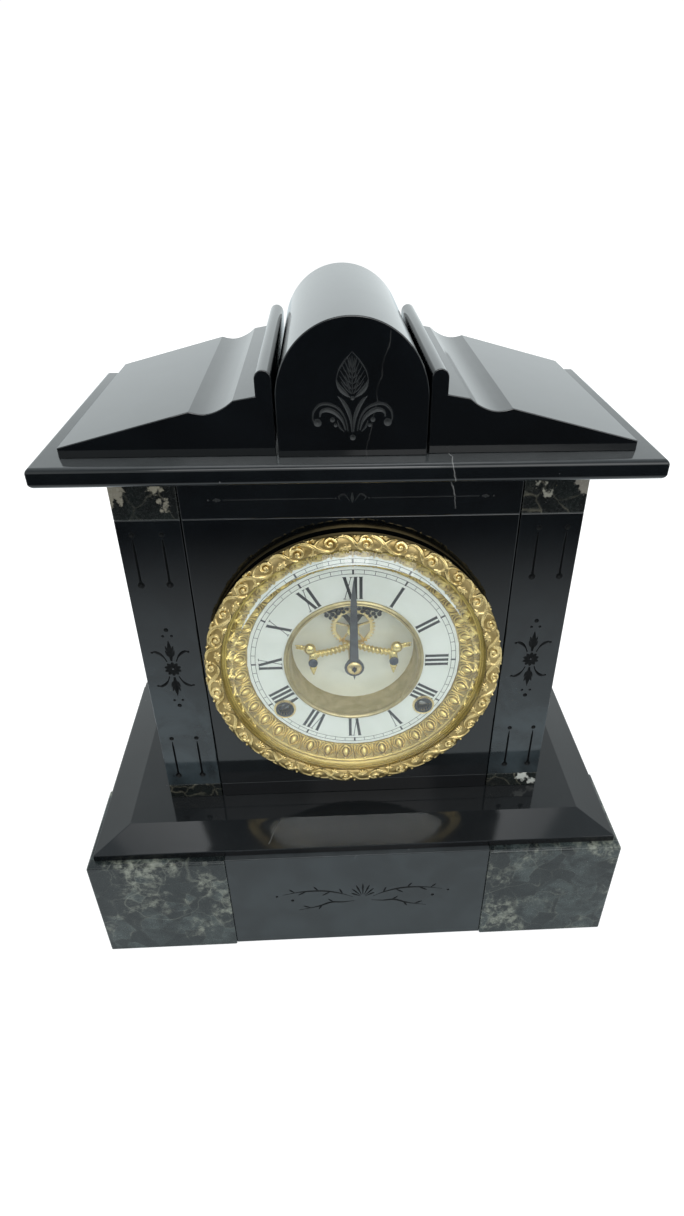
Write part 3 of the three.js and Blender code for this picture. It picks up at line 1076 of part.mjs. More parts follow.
// Gilt bridge in front of the wheel: two drooping arms, a stem, balls, wings, feet and drops
function addEscapeBridge() {
  const back = BRIDGE_DEPTH + BRIDGE_THICKNESS;
  const half = BRIDGE_ARM_WIDTH / 2;
  const garlandShares = [[0.1, 1], [0.4, 0.62], [0.7, 0.36], [1, 0.24]];
  const ballHeightShare = 0.7;
  const parts = [
    rod(ARBOR_RADIUS + BRIDGE_ARM_WIDTH, BRIDGE_DEPTH, back, ...escapeAt),
    box(-half, half, BRIDGE_DEPTH, back, BRIDGE_CENTRE_HEIGHT - half, ESCAPE_HEIGHT),
  ];
  for (const side of [-1, 1]) {
    const line = garlandShares.map(([acrossShare, upShare]) => [
      side * acrossShare * BRIDGE_HALF_SPAN, upShare * BRIDGE_CENTRE_HEIGHT]);
    const upper = line.map(([x, z]) => [x, z + half]);
    const lower = line.map(([x, z]) => [x, z - half]).reverse();
    const x = side * BRIDGE_HALF_SPAN;
    const ballX = x + (side * BRIDGE_BALL_RADIUS) / 2;
    const ballZ = BRIDGE_CENTRE_HEIGHT * ballHeightShare;
    const wingTip = x + side * (BRIDGE_BALL_RADIUS + BRIDGE_WING_LENGTH);
    const dropTip = BRIDGE_SCREW_HEIGHT - BRIDGE_FOOT_RADIUS - BRIDGE_DROP_LENGTH;
    parts.push(
      slab([[0, BRIDGE_CENTRE_HEIGHT + half], ...upper, ...lower, [0, BRIDGE_CENTRE_HEIGHT - half]],
        BRIDGE_DEPTH, back),
      rod(BRIDGE_BALL_RADIUS, BRIDGE_DEPTH, back, ballX, ballZ),
      slab([[x, ballZ - half], [wingTip, ballZ + half], [x, ballZ + half]], BRIDGE_DEPTH, back),
      rod(BRIDGE_FOOT_RADIUS, BRIDGE_DEPTH - FIT, DISC_FACE, x, BRIDGE_SCREW_HEIGHT),
      box(x - half, x + half, BRIDGE_DEPTH, back, BRIDGE_SCREW_HEIGHT, ballZ),
      slab([[x - BRIDGE_FOOT_RADIUS, BRIDGE_SCREW_HEIGHT],
        [x + BRIDGE_FOOT_RADIUS, BRIDGE_SCREW_HEIGHT], [x, dropTip]], BRIDGE_DEPTH, back));
  }
  const hole = rod(ARBOR_RADIUS + PIVOT_CLEARANCE, BRIDGE_DEPTH + PIVOT_END_GAP / 2,
    back + CUT_OVERRUN, ...escapeAt, THIN_FACETS);
  place(dial, "escape_bridge", cut(join(...parts), hole), gilt);
}

// Motion work: the cannon pinion turns the minute wheel, whose pinion turns the hour wheel
function addMotionWork() {
  const cannonBack = MINUTE_WHEEL_DEPTH + MOTION_WHEEL_THICKNESS + PIVOT_END_GAP;
  const bore = (radius, facets) => rod(radius, -SASH_CREST_PROUD, FRONT_PLATE_DEPTH, ...centre, facets);
  const arborBore = ARBOR_RADIUS + PIVOT_CLEARANCE;
  const cannonTeeth = slab(toothed(CANNON_LEAVES, ...toothRadii(CANNON_LEAVES, cannonPitchRadius)),
    MINUTE_WHEEL_DEPTH - PIVOT_END_GAP / 2, cannonBack);
  place(dial, "cannon_pinion", cut(join(cannonTeeth,
    rod(CANNON_RADIUS, -MINUTE_HAND_PROUD, cannonBack)), bore(arborBore, THIN_FACETS)), steel);
  const minutePhase = meshPhase(CANNON_LEAVES, MINUTE_WHEEL_TEETH, Math.PI);
  const minuteRadii = toothRadii(MINUTE_WHEEL_TEETH, minutePitchRadius);
  const minuteWheel = slab(toothed(MINUTE_WHEEL_TEETH, ...minuteRadii, minutePhase),
    MINUTE_WHEEL_DEPTH, MINUTE_WHEEL_DEPTH + MOTION_WHEEL_THICKNESS);
  const minutePinion = slab(
    toothed(MINUTE_PINION_LEAVES, ...toothRadii(MINUTE_PINION_LEAVES, minutePinionRadius)),
    HOUR_WHEEL_DEPTH - PIVOT_END_GAP / 2, MINUTE_WHEEL_DEPTH + MOTION_WHEEL_THICKNESS / 2);
  place(dial, "minute_wheel", cut(join(minuteWheel, minutePinion), bore(arborBore, THIN_FACETS)),
    brass, minuteWheelAt);
  const hourPhase = meshPhase(MINUTE_PINION_LEAVES, HOUR_WHEEL_TEETH, 0);
  const hourRadii = toothRadii(HOUR_WHEEL_TEETH, hourPitchRadius);
  const hourBack = HOUR_WHEEL_DEPTH + MOTION_WHEEL_THICKNESS;
  place(dial, "hour_wheel", cut(join(
    slab(toothed(HOUR_WHEEL_TEETH, ...hourRadii, hourPhase), HOUR_WHEEL_DEPTH, hourBack),
    rod(HOUR_PIPE_RADIUS, -HOUR_HAND_PROUD, hourBack)),
  bore(CANNON_RADIUS + PIVOT_CLEARANCE, ROUND_FACETS)), brass);
}

// Hands at twelve o'clock, and the nut that holds them
function addHands() {
  const [neckShare, neckWidthShare] = [0.75, 0.8];
  const hand = (length, width, bossRadius, tail, proud, boreRadius) => {
    const half = width / 2;
    const back = -proud + HAND_THICKNESS;
    const neck = [neckWidthShare * half, neckShare * length];
    const blade = slab([[-half, 0], [-neck[0], neck[1]], [0, length], neck, [half, 0], [0, -tail]],
      -proud, back);
    const boss = rod(bossRadius, -proud, back, ...centre, DRUM_FACETS);
    return cut(join(blade, boss), rod(boreRadius, -proud - CUT_OVERRUN, back + CUT_OVERRUN));
  };
  place(dial, "hour_hand", hand(HOUR_HAND_LENGTH, HOUR_HAND_WIDTH, HOUR_BOSS_RADIUS,
    HOUR_BOSS_RADIUS / 2, HOUR_HAND_PROUD, HOUR_PIPE_RADIUS + PIVOT_CLEARANCE), blued);
  place(dial, "minute_hand", hand(MINUTE_HAND_LENGTH, MINUTE_HAND_WIDTH, MINUTE_BOSS_RADIUS,
    HAND_TAIL_LENGTH, MINUTE_HAND_PROUD, CANNON_RADIUS + PIVOT_CLEARANCE), blued);
  const nutBack = -MINUTE_HAND_PROUD - SEAT_GAP;
  const nutFront = nutBack - NUT_THICKNESS;
  const nutHole = rod(ARBOR_RADIUS + PIVOT_CLEARANCE, nutFront + NUT_THICKNESS / 2,
    nutBack + CUT_OVERRUN, ...centre, THIN_FACETS);
  place(dial, "hand_nut",
    cut(rod(NUT_RADIUS, nutFront, nutBack, ...centre, DRUM_FACETS), nutHole), brass);
}

// Striking train: barrel, second wheel, pin wheel, locking wheel and fly, then hammer and gong
function addStriking() {
  place(dial, "strike_second_wheel", join(
    wheel(SECOND_TEETH, SECOND_PITCH_RADIUS, STRIKE_SECOND_DEPTH),
    pinion(GREAT_PINION_LEAVES, greatPinionRadius, GREAT_WHEEL_DEPTH,
      meshPhase(GREAT_TEETH, GREAT_PINION_LEAVES, bearingOf(strikeBarrelAt, strikeSecondAt)),
      GREAT_WHEEL_THICKNESS),
    arbor()), brass, strikeSecondAt);
  const pins = [];
  for (let i = 0; i < PIN_COUNT; i += 1) {
    const angle = ((i + 0.5) / PIN_COUNT) * FULL_TURN;
    pins.push(rod(PIN_RADIUS, PIN_WHEEL_DEPTH + WHEEL_THICKNESS / 2,
      PIN_WHEEL_DEPTH + WHEEL_THICKNESS + PIN_LENGTH,
      PIN_CIRCLE_RADIUS * Math.sin(angle), PIN_CIRCLE_RADIUS * Math.cos(angle), THIN_FACETS / 2));
  }
  place(dial, "pin_wheel", join(
    wheel(PIN_WHEEL_TEETH, PIN_WHEEL_PITCH_RADIUS, PIN_WHEEL_DEPTH, WHEEL_THICKNESS, false),
    pinion(SECOND_PINION_LEAVES, secondPinionRadius, STRIKE_SECOND_DEPTH,
      meshPhase(SECOND_TEETH, SECOND_PINION_LEAVES, bearingOf(strikeSecondAt, pinWheelAt))),
    ...pins, arbor()), brass, pinWheelAt);
  place(dial, "locking_wheel", join(
    wheel(LOCKING_TEETH, LOCKING_PITCH_RADIUS, LOCKING_WHEEL_DEPTH),
    pinion(LOCKING_PINION_LEAVES, lockingPinionRadius, PIN_WHEEL_DEPTH,
      meshPhase(PIN_WHEEL_TEETH, LOCKING_PINION_LEAVES, bearingOf(pinWheelAt, lockingAt))),
    arbor()), brass, lockingAt);
  place(dial, "fly", join(
    box(-FLY_RADIUS, FLY_RADIUS, FLY_FRONT_DEPTH, FLY_FRONT_DEPTH + FLY_LENGTH,
      -FLY_THICKNESS / 2, FLY_THICKNESS / 2),
    pinion(FLY_PINION_LEAVES, flyPinionRadius, LOCKING_WHEEL_DEPTH,
      meshPhase(LOCKING_TEETH, FLY_PINION_LEAVES, bearingOf(lockingAt, flyAt))),
    arbor()), brass, flyAt);

  // The coil's left side at the hammer's height, half a turn short of its outer end
  const coilPitch = (GONG_END_RADIUS - GONG_START_RADIUS) / GONG_TURNS;
  const coilLeft = GONG_END_RADIUS - coilPitch / 2 + GONG_WIRE_WIDTH / 2;
  const headFace = -coilLeft - HAMMER_GAP - HAMMER_X;
  const armHalf = HAMMER_ARM_THICKNESS / 2;
  const armDrop = GONG_DROP + HAMMER_Z;
  const tailReach = Math.hypot(hammerAt[0] - pinWheelAt[0], hammerAt[1] - pinWheelAt[1])
    - PIN_CIRCLE_RADIUS - PIN_RADIUS - 2 * FIT;
  const tail = box(-armHalf / 2, armHalf / 2, PIN_WHEEL_DEPTH + WHEEL_THICKNESS + FIT,
    PIN_WHEEL_DEPTH + WHEEL_THICKNESS + PIN_LENGTH, 0, tailReach);
  place(dial, "hammer", join(
    arbor(ARBOR_FRONT, GONG_DEPTH + armHalf),
    tail.rotateY(bearingOf(hammerAt, pinWheelAt)),
    box(-armHalf, armHalf, GONG_DEPTH - armHalf, GONG_DEPTH + armHalf, -armDrop, ARBOR_RADIUS),
    bar(HAMMER_HEAD_RADIUS, headFace - HAMMER_HEAD_LENGTH, headFace, GONG_DEPTH, -armDrop)),
  steel, hammerAt);

  const gongAt = [0, -GONG_DROP];
  place(dial, "gong", spiral(GONG_START_RADIUS, GONG_END_RADIUS, GONG_TURNS, GONG_FACETS,
    GONG_WIRE_WIDTH, GONG_DEPTH - GONG_WIRE_DEPTH / 2, GONG_DEPTH + GONG_WIRE_DEPTH / 2),
  blued, gongAt);
  const blockHalf = GONG_START_RADIUS - GONG_WIRE_WIDTH / 2 - FIT;
  const floor = PLINTH_TOP - DIAL_HEIGHT + GONG_DROP;
  place(dial, "gong_stand", join(
    box(-blockHalf, blockHalf, GONG_DEPTH - GONG_WIRE_DEPTH, GONG_POST_BACK,
      -GONG_BLOCK_HALF_HEIGHT, GONG_BLOCK_HALF_HEIGHT),
    box(-STAND_POST_HALF_WIDTH, STAND_POST_HALF_WIDTH, GONG_POST_FRONT, GONG_POST_BACK, floor, 0),
    box(-STAND_FOOT_HALF_WIDTH, STAND_FOOT_HALF_WIDTH, GONG_POST_BACK - STAND_FOOT_DEPTH, GONG_POST_BACK,
      floor, floor + STAND_FOOT_THICKNESS)),
  iron, gongAt);
}

// Pendulum: an eye on the suspension pin, a thin rod, a lens-shaped bob and a rating nut
function addPendulum() {
  const bobAt = -PENDULUM_LENGTH;
  const nutBottom = bobAt - BOB_RADIUS - FIT - RATING_NUT_HEIGHT;
  const eyeHalf = PENDULUM_EYE_RADIUS / 2;
  const eyeBore = rod(SUSPENSION_PIN_RADIUS + PIVOT_CLEARANCE, PENDULUM_DEPTH - CUT_OVERRUN,
    PENDULUM_DEPTH + CUT_OVERRUN);
  const eye = rod(PENDULUM_EYE_RADIUS, PENDULUM_DEPTH - eyeHalf, PENDULUM_DEPTH + eyeHalf);
  const shaft = post(PENDULUM_ROD_RADIUS, nutBottom, -(SUSPENSION_PIN_RADIUS + PENDULUM_EYE_RADIUS) / 2,
    0, PENDULUM_DEPTH, THIN_FACETS);
  const nut = post(RATING_NUT_RADIUS, nutBottom, nutBottom + RATING_NUT_HEIGHT, 0, PENDULUM_DEPTH);
  place(dial, "pendulum_rod", cut(join(eye, shaft, nut), eyeBore), steel, palletsAt);
  const half = BOB_THICKNESS / 2;
  const lensShares = [[0.6, 0.8], [1, 0.15]];
  const frontFace = lensShares.map(([outShare, deepShare]) => [
    outShare * BOB_RADIUS, -deepShare * half]);
  const backFace = frontFace.map(([r, y]) => [r, -y]).reverse();
  const lens = turned([[0, -half], ...frontFace, ...backFace, [0, half]], DRUM_FACETS);
  const bore = post(PENDULUM_ROD_RADIUS + PIVOT_CLEARANCE, bobAt - BOB_RADIUS - CUT_OVERRUN,
    bobAt + BOB_RADIUS + CUT_OVERRUN, 0, PENDULUM_DEPTH, THIN_FACETS);
  place(dial, "pendulum_bob", cut(lens.translate(0, PENDULUM_DEPTH, bobAt), bore),
    brass, palletsAt);
}

// Back ring with its hinge knuckles and strap lugs, and the round door
function addBackDoor() {
  const ringBack = BODY_DEPTH + BACK_RING_THICKNESS;
  const hingeX = BACK_RING_RADIUS + DOOR_HINGE_RADIUS + FIT;
  const doorFront = ringBack + FIT;
  const hingeY = doorFront + DOOR_THICKNESS / 2;
  const outerReach = [KNUCKLE_LENGTH / 2 + FIT, 2 * KNUCKLE_LENGTH];
  const parts = [turned([[BACK_RING_BORE, BODY_DEPTH], [BACK_RING_RADIUS, BODY_DEPTH],
    [BACK_RING_RADIUS, ringBack], [BACK_RING_BORE, ringBack]])];
  for (const side of [-1, 1]) {
    const lug = box(-STRAP_WIDTH / 2, STRAP_WIDTH / 2, BODY_DEPTH, ringBack,
      STRAP_RADIUS - STRAP_THICKNESS, BACK_RING_BORE + STRAP_THICKNESS);
    parts.push(lug.rotateY(THREE.MathUtils.degToRad(side * STRAP_ANGLE)));
    const [z0, z1] = side > 0 ? outerReach : [-outerReach[1], -outerReach[0]];
    parts.push(post(DOOR_HINGE_RADIUS, z0, z1, hingeX, hingeY));
    parts.push(box(BACK_RING_RADIUS - 2 * DOOR_HINGE_RADIUS, hingeX, BODY_DEPTH, ringBack, z0, z1));
  }
  parts.push(post(HINGE_PIN_RADIUS, -outerReach[1], outerReach[1], hingeX, hingeY));
  place(dial, "back_ring", join(...parts), brass);
  const plate = turned([[0, doorFront], [DOOR_RADIUS, doorFront],
    [DOOR_RADIUS, doorFront + DOOR_THICKNESS], [DOOR_RADIUS - DOOR_RIM_WIDTH / 2,
      doorFront + 2 * DOOR_THICKNESS], [DOOR_RADIUS - DOOR_RIM_WIDTH, doorFront + DOOR_THICKNESS],
    [0, doorFront + DOOR_THICKNESS]]);
  const knuckleHalf = KNUCKLE_LENGTH / 2;
  const web = box(DOOR_RADIUS - DOOR_RIM_WIDTH, hingeX, doorFront, doorFront + DOOR_THICKNESS,
    -knuckleHalf, knuckleHalf);
  const pinHole = post(HINGE_PIN_RADIUS + PIVOT_CLEARANCE, -knuckleHalf - CUT_OVERRUN,
    knuckleHalf + CUT_OVERRUN, hingeX, hingeY);
  const knob = rod(DOOR_KNOB_RADIUS, doorFront + DOOR_THICKNESS / 2,
    doorFront + DOOR_THICKNESS + DOOR_KNOB_LENGTH, -DOOR_RADIUS + 4 * DOOR_KNOB_RADIUS, 0);
  const eye = post(DOOR_HINGE_RADIUS, -knuckleHalf, knuckleHalf, hingeX, hingeY);
  place(dial, "back_door", cut(join(plate, web, eye, knob), pinHole), brass);
}

addBase();
addPlinth();
addBody();
addCornice();
addPediment();
addDialPan();
addBezel();
addDialPlates();
addPlates();
addPower();
addGoingTrain();
addPallets();
addEscapeCock();
addEscapeBridge();
addMotionWork();
addHands();
addStriking();
addPendulum();
addBackDoor();

// The origin is under the middle of the clock's outer box, on the surface that it stands on
clock.updateMatrixWorld(true);
const reach = new THREE.Box3().setFromObject(clock);
clock.position.y = -(reach.min.y + reach.max.y) / 2;
clock.position.x = -(reach.min.x + reach.max.x) / 2;

export default clock;
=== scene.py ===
"""A black slate mantel clock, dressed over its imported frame: polished and engraved slate,
veined marble blocks, a cast gilt sash, an enamel dial and the escapement in its recess.
Shapes are worked in millimetres, y from the front of the slate body, and set into the frame last.
Places in finishes and lamps are in metres."""
import math

import bmesh
import bpy
from mathutils import Matrix, Vector
from mathutils.kdtree import KDTree


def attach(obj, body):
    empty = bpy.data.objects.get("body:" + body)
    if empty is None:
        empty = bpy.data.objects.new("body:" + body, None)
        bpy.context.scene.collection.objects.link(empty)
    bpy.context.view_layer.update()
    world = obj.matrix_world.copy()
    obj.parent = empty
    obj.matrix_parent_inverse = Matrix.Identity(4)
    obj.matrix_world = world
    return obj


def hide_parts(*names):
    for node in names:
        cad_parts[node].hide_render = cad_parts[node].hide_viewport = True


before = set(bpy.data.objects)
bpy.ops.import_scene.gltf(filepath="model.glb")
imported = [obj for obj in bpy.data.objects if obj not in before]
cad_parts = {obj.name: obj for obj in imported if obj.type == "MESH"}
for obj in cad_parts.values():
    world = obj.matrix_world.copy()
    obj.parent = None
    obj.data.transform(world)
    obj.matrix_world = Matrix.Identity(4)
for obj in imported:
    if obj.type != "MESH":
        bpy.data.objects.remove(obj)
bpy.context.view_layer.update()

MM = 0.001
TURN = 2 * math.pi
SIDES = (("left", -1), ("right", 1))

# The front of the slate body from the frame's origin, and the other depths from there.
BODY_FRONT = -46.3
BASE_FACE = -41.8
ARCH_FACE = -14.6
WEDGE_FACE = -12.6
PEDIMENT_BACK = 128

# Faces of a stone that meet at more degrees than this keep a sharp edge.
STONE_CREASE = 14

# Heights and places on the front.
PEDIMENT_FOOT = 292.2
DIAL_CENTRE = 177.9
WINDING_HOLE = (38, -29.5)

# The photograph's own camera, found from the case's straight edges and the dial's circles.
CAMERA_PLACE = (-11.06, -378.1, 402.6)
CAMERA_YAW, CAMERA_PITCH, CAMERA_ROLL = 3.61, 36.73, 0.44
CAMERA_LENS, CAMERA_SENSOR = 22.5, 36.0
CAMERA_SHIFT = (-0.0250, 0.0731)


def set_camera():
    """Sets the camera where the photograph was taken from, aimed as it was."""
    yaw, pitch, roll = (math.radians(a) for a in (CAMERA_YAW, CAMERA_PITCH, CAMERA_ROLL))
    ahead = Vector((math.sin(yaw) * math.cos(pitch), math.cos(yaw) * math.cos(pitch), -math.sin(pitch)))
    level = Vector((math.cos(yaw), -math.sin(yaw), 0))
    above = level.cross(ahead)
    right = math.cos(roll) * level + math.sin(roll) * above
    up = math.cos(roll) * above - math.sin(roll) * level
    data = bpy.data.cameras.new("photo_camera")
    data.lens, data.sensor_width = CAMERA_LENS, CAMERA_SENSOR
    data.shift_x, data.shift_y = CAMERA_SHIFT
    data.clip_start = 0.01
    camera = bpy.data.objects.new("photo_camera", data)
    bpy.context.collection.objects.link(camera)
    turned = Matrix((right, up, -ahead)).transposed().to_4x4()
    camera.matrix_world = Matrix.Translation(Vector(CAMERA_PLACE) * MM) @ turned
    bpy.context.scene.camera = camera


set_camera()


# Building a finish: nodes, and the sums and blends that every finish uses.

def feed(node, **sockets):
    """Links or fills a node's sockets by name, or by number as i0, i1 and so on."""
    for name, value in sockets.items():
        numbered = name[0] == "i" and name[1:].isdigit()
        socket = node.inputs[int(name[1:]) if numbered else name.replace("_", " ")]
        if isinstance(value, bpy.types.NodeSocket):
            node.id_data.links.new(value, socket)
        elif socket.type == "RGBA":
            socket.default_value = (*value, 1.0)
        else:
            socket.default_value = value
    return node


def put(tree, kind, settings=(), **sockets):
    """A new shader node with its settings made and its sockets fed."""
    made = tree.nodes.new("ShaderNode" + kind)
    for name, value in dict(settings).items():
        setattr(made, name, value)
    return feed(made, **sockets)


def use(tree, group, **values):
    """Places a shader group in a finish and gives its outputs."""
    return put(tree, "Group", {"node_tree": group}, **values).outputs


def calc(tree, operation, first, second=0.0, third=0.0, clamp=False):
    return put(tree, "Math", {"operation": operation, "use_clamp": clamp},
               i0=first, i1=second, i2=third).outputs[0]


def times(tree, first, second):
    return calc(tree, "MULTIPLY", first, second)


def near(tree, away, reach):
    """1 where away is nothing, falling to 0 at reach and past it."""
    return calc(tree, "SUBTRACT", 1.0, calc(tree, "DIVIDE", away, reach, clamp=True), clamp=True)


def eased(tree, value, low, high, start=0.0, end=1.0):
    """value brought smoothly from low..high to start..end."""
    return put(tree, "MapRange", {"interpolation_type": "SMOOTHSTEP"}, Value=value, From_Min=low,
               From_Max=high, To_Min=start, To_Max=end).outputs["Result"]


def vector(tree, operation, first, second):
    return put(tree, "VectorMath", {"operation": operation}, i0=first, i1=second).outputs


def split(tree, place):
    return put(tree, "SeparateXYZ", i0=place).outputs


def noise(tree, place, scale, detail, **more):
    return put(tree, "TexNoise", Vector=place, Scale=scale, Detail=detail, **more).outputs


def blend(tree, share, first, second):
    """first and second colours mixed, with so much of the second."""
    return put(tree, "Mix", {"data_type": "RGBA"}, i0=share, i6=first, i7=second).outputs[2]


def layered(tree, ground, layers):
    """Each (share, amount, tone) laid in turn over the ground."""
    for share, amount, tone in layers:
        ground = blend(tree, times(tree, share, amount), ground, tone)
    return ground


def effect(name, inputs, outputs):
    """An empty shader group. Its Vector input is a place in the stone, its other sockets are numbers."""
    group = bpy.data.node_groups.new(name, "ShaderNodeTree")
    for way, labels in (("INPUT", inputs), ("OUTPUT", outputs)):
        for label in labels:
            kind = "NodeSocketVector" if label == "Vector" else "NodeSocketFloat"
            group.interface.new_socket(label, in_out=way, socket_type=kind)
    return group, group.nodes.new("NodeGroupInput").outputs, group.nodes.new("NodeGroupOutput")


def make_clouding():
    """Slow clouds and a fine grain through a stone or a casting."""
    tree, given, out = effect("Clouding", ("Vector", "Scale", "Grain Scale"), ("Cloud", "Grain"))
    broad = noise(tree, given["Vector"], given["Scale"], 6.0, Roughness=0.62, Distortion=0.6)[0]
    fine = noise(tree, given["Vector"], given["Grain Scale"], 3.0, Roughness=0.6)[0]
    feed(out, Cloud=eased(tree, broad, 0.3, 0.72), Grain=fine)
    return tree


def make_veining():
    """Veins that run where a bent noise crosses its middle value, broken up along their length."""
    tree, given, out = effect("Veining", ("Vector", "Scale", "Width", "Share", "Bend"), ("Vein",))
    bent = noise(tree, given["Vector"], given["Scale"], 3.0, Roughness=0.55, Distortion=given["Bend"])[0]
    away = calc(tree, "ABSOLUTE", calc(tree, "SUBTRACT", bent, 0.5))
    patch = noise(tree, given["Vector"], times(tree, given["Scale"], 1.7), 2.0)[0]
    shown = calc(tree, "ADD", calc(tree, "SUBTRACT", patch, 1.0), given["Share"])
    gate = calc(tree, "MULTIPLY", shown, 6.0, clamp=True)
    feed(out, Vein=times(tree, near(tree, away, given["Width"]), gate))
    return tree


def make_shatter():
    """Hard angular fragments parted by thin seams, as in a brecciated marble."""
    tree, given, out = effect("Shatter", ("Vector", "Scale", "Width"), ("Seam", "Fragment"))
    warp = noise(tree, given["Vector"], given["Scale"], 2.0)[1]
    shift = put(tree, "VectorMath", {"operation": "SCALE"}, i0=warp,
                Scale=calc(tree, "DIVIDE", 0.75, given["Scale"]))
    moved = vector(tree, "ADD", given["Vector"], shift.outputs[0])[0]
    edge = put(tree, "TexVoronoi", {"feature": "DISTANCE_TO_EDGE"}, Vector=moved, Scale=given["Scale"])
    cell = put(tree, "TexVoronoi", Vector=moved, Scale=given["Scale"])
    feed(out, Seam=near(tree, edge.outputs[0], given["Width"]),
         Fragment=put(tree, "SeparateColor", i0=cell.outputs["Color"]).outputs[0])
    return tree


def make_specks():
    """Scattered pin-point marks."""
    tree, given, out = effect("Specks", ("Vector", "Scale", "Size", "Share"), ("Speck",))
    cell = put(tree, "TexVoronoi", Vector=given["Vector"], Scale=given["Scale"]).outputs
    chance = put(tree, "SeparateColor", i0=cell["Color"]).outputs[1]
    kept = calc(tree, "LESS_THAN", chance, given["Share"])
    feed(out, Speck=times(tree, kept, near(tree, cell["Distance"], given["Size"])))
    return tree


def make_worn_arris():
    """Where two faces meet within Reach, the polish is rubbed off."""
    tree, given, out = effect("Worn arris", ("Vector", "Reach"), ("Wear",))
    rounded = put(tree, "Bevel", {"samples": 4}, Radius=given["Reach"]).outputs[0]
    flat = put(tree, "NewGeometry").outputs["True Normal"]
    worn = eased(tree, vector(tree, "DOT_PRODUCT", rounded, flat)["Value"], 0.985, 0.8)
    patch = noise(tree, given["Vector"], 160.0, 3.0)[0]
    feed(out, Wear=times(tree, worn, eased(tree, patch, 0.35, 0.65, 0.25, 1.0)))
    return tree


def make_dust():
    """A thin settled film on what faces up."""
    tree, given, out = effect("Settled dust", ("Vector",), ("Dust",))
    upward = split(tree, put(tree, "NewGeometry").outputs["Normal"])[2]
    patch = noise(tree, given["Vector"], 70.0, 6.0, Roughness=0.7)[0]
    feed(out, Dust=times(tree, eased(tree, upward, 0.55, 0.98), eased(tree, patch, 0.3, 0.75, 0.75, 1.0)))
    return tree


def make_hollows():
    """How deep in a hollow, or how high on a ridge, a place of a casting is."""
    tree, given, out = effect("Hollows", ("Low", "High"), ("Hollow", "Ridge"))
    point = put(tree, "NewGeometry").outputs["Pointiness"]
    for label, first, last, start, end in (("Hollow", given["Low"], 0.5, 1.0, 0.0),
                                           ("Ridge", 0.5, given["High"], 0.0, 1.0)):
        share = put(tree, "MapRange", Value=point, From_Min=first, From_Max=last, To_Min=start, To_Max=end)
        feed(out, **{label: share.outputs["Result"]})
    return tree


CLOUDING, VEINING, SHATTER, SPECKS = make_clouding(), make_veining(), make_shatter(), make_specks()
WORN_ARRIS, DUST, HOLLOWS = make_worn_arris(), make_dust(), make_hollows()


def clouded(tree, place, scale, grain_scale):
    return use(tree, CLOUDING, Vector=place, Scale=scale, Grain_Scale=grain_scale)


def veined(tree, place, scale, width, share, bend):
    return use(tree, VEINING, Vector=place, Scale=scale, Width=width, Share=share, Bend=bend)["Vein"]


def shattered(tree, place, scale, width):
    return use(tree, SHATTER, Vector=place, Scale=scale, Width=width)


def specked(tree, place, scale, size, share):
    return use(tree, SPECKS, Vector=place, Scale=scale, Size=size, Share=share)["Speck"]


def worn(tree, place, reach):
    return use(tree, WORN_ARRIS, Vector=place, Reach=reach)["Wear"]


def fresh(name, shift=(0, 0, 0), turn=(0, 0, 0), **fixed):
    """A material with a Principled shader and its own place in the stone's pattern."""
    material = bpy.data.materials.new(name)
    material.use_nodes = True
    tree = material.node_tree
    shader = feed(tree.nodes["Principled BSDF"], **fixed)
    place = put(tree, "Mapping", Vector=put(tree, "TexCoord").outputs["Object"], Location=shift, Rotation=turn)
    return material, tree, shader, place.outputs[0]


def surfaced(tree, shader, colour, roughness, height, depth, strength):
    """Gives a shader its colour, its gloss and a fine relief of some depth."""
    bump = put(tree, "Bump", Strength=strength, Distance=depth, Height=height)
    feed(shader, Base_Color=colour, Roughness=roughness, Normal=bump.outputs[0])


def white_streak(tree, x, z, slope, low, high, strength):
    """One white hairline through the stone, leaning by slope, between two heights."""
    spot = put(tree, "TexCoord").outputs["Object"]
    across, _, height = split(tree, spot)
    stray = noise(tree, spot, 90.0, 4.0)[0]
    wander = calc(tree, "MULTIPLY_ADD", stray, 0.006, x - 0.003)
    line = calc(tree, "MULTIPLY_ADD", calc(tree, "SUBTRACT", height, z), slope, wander)
    thin = near(tree, calc(tree, "ABSOLUTE", calc(tree, "SUBTRACT", across, line)), 0.0004)
    inside = times(tree, calc(tree, "GREATER_THAN", height, low), calc(tree, "LESS_THAN", height, high))
    return times(tree, times(tree, thin, inside), eased(tree, stray, 0.35, 0.6, 0.2 * strength, strength))


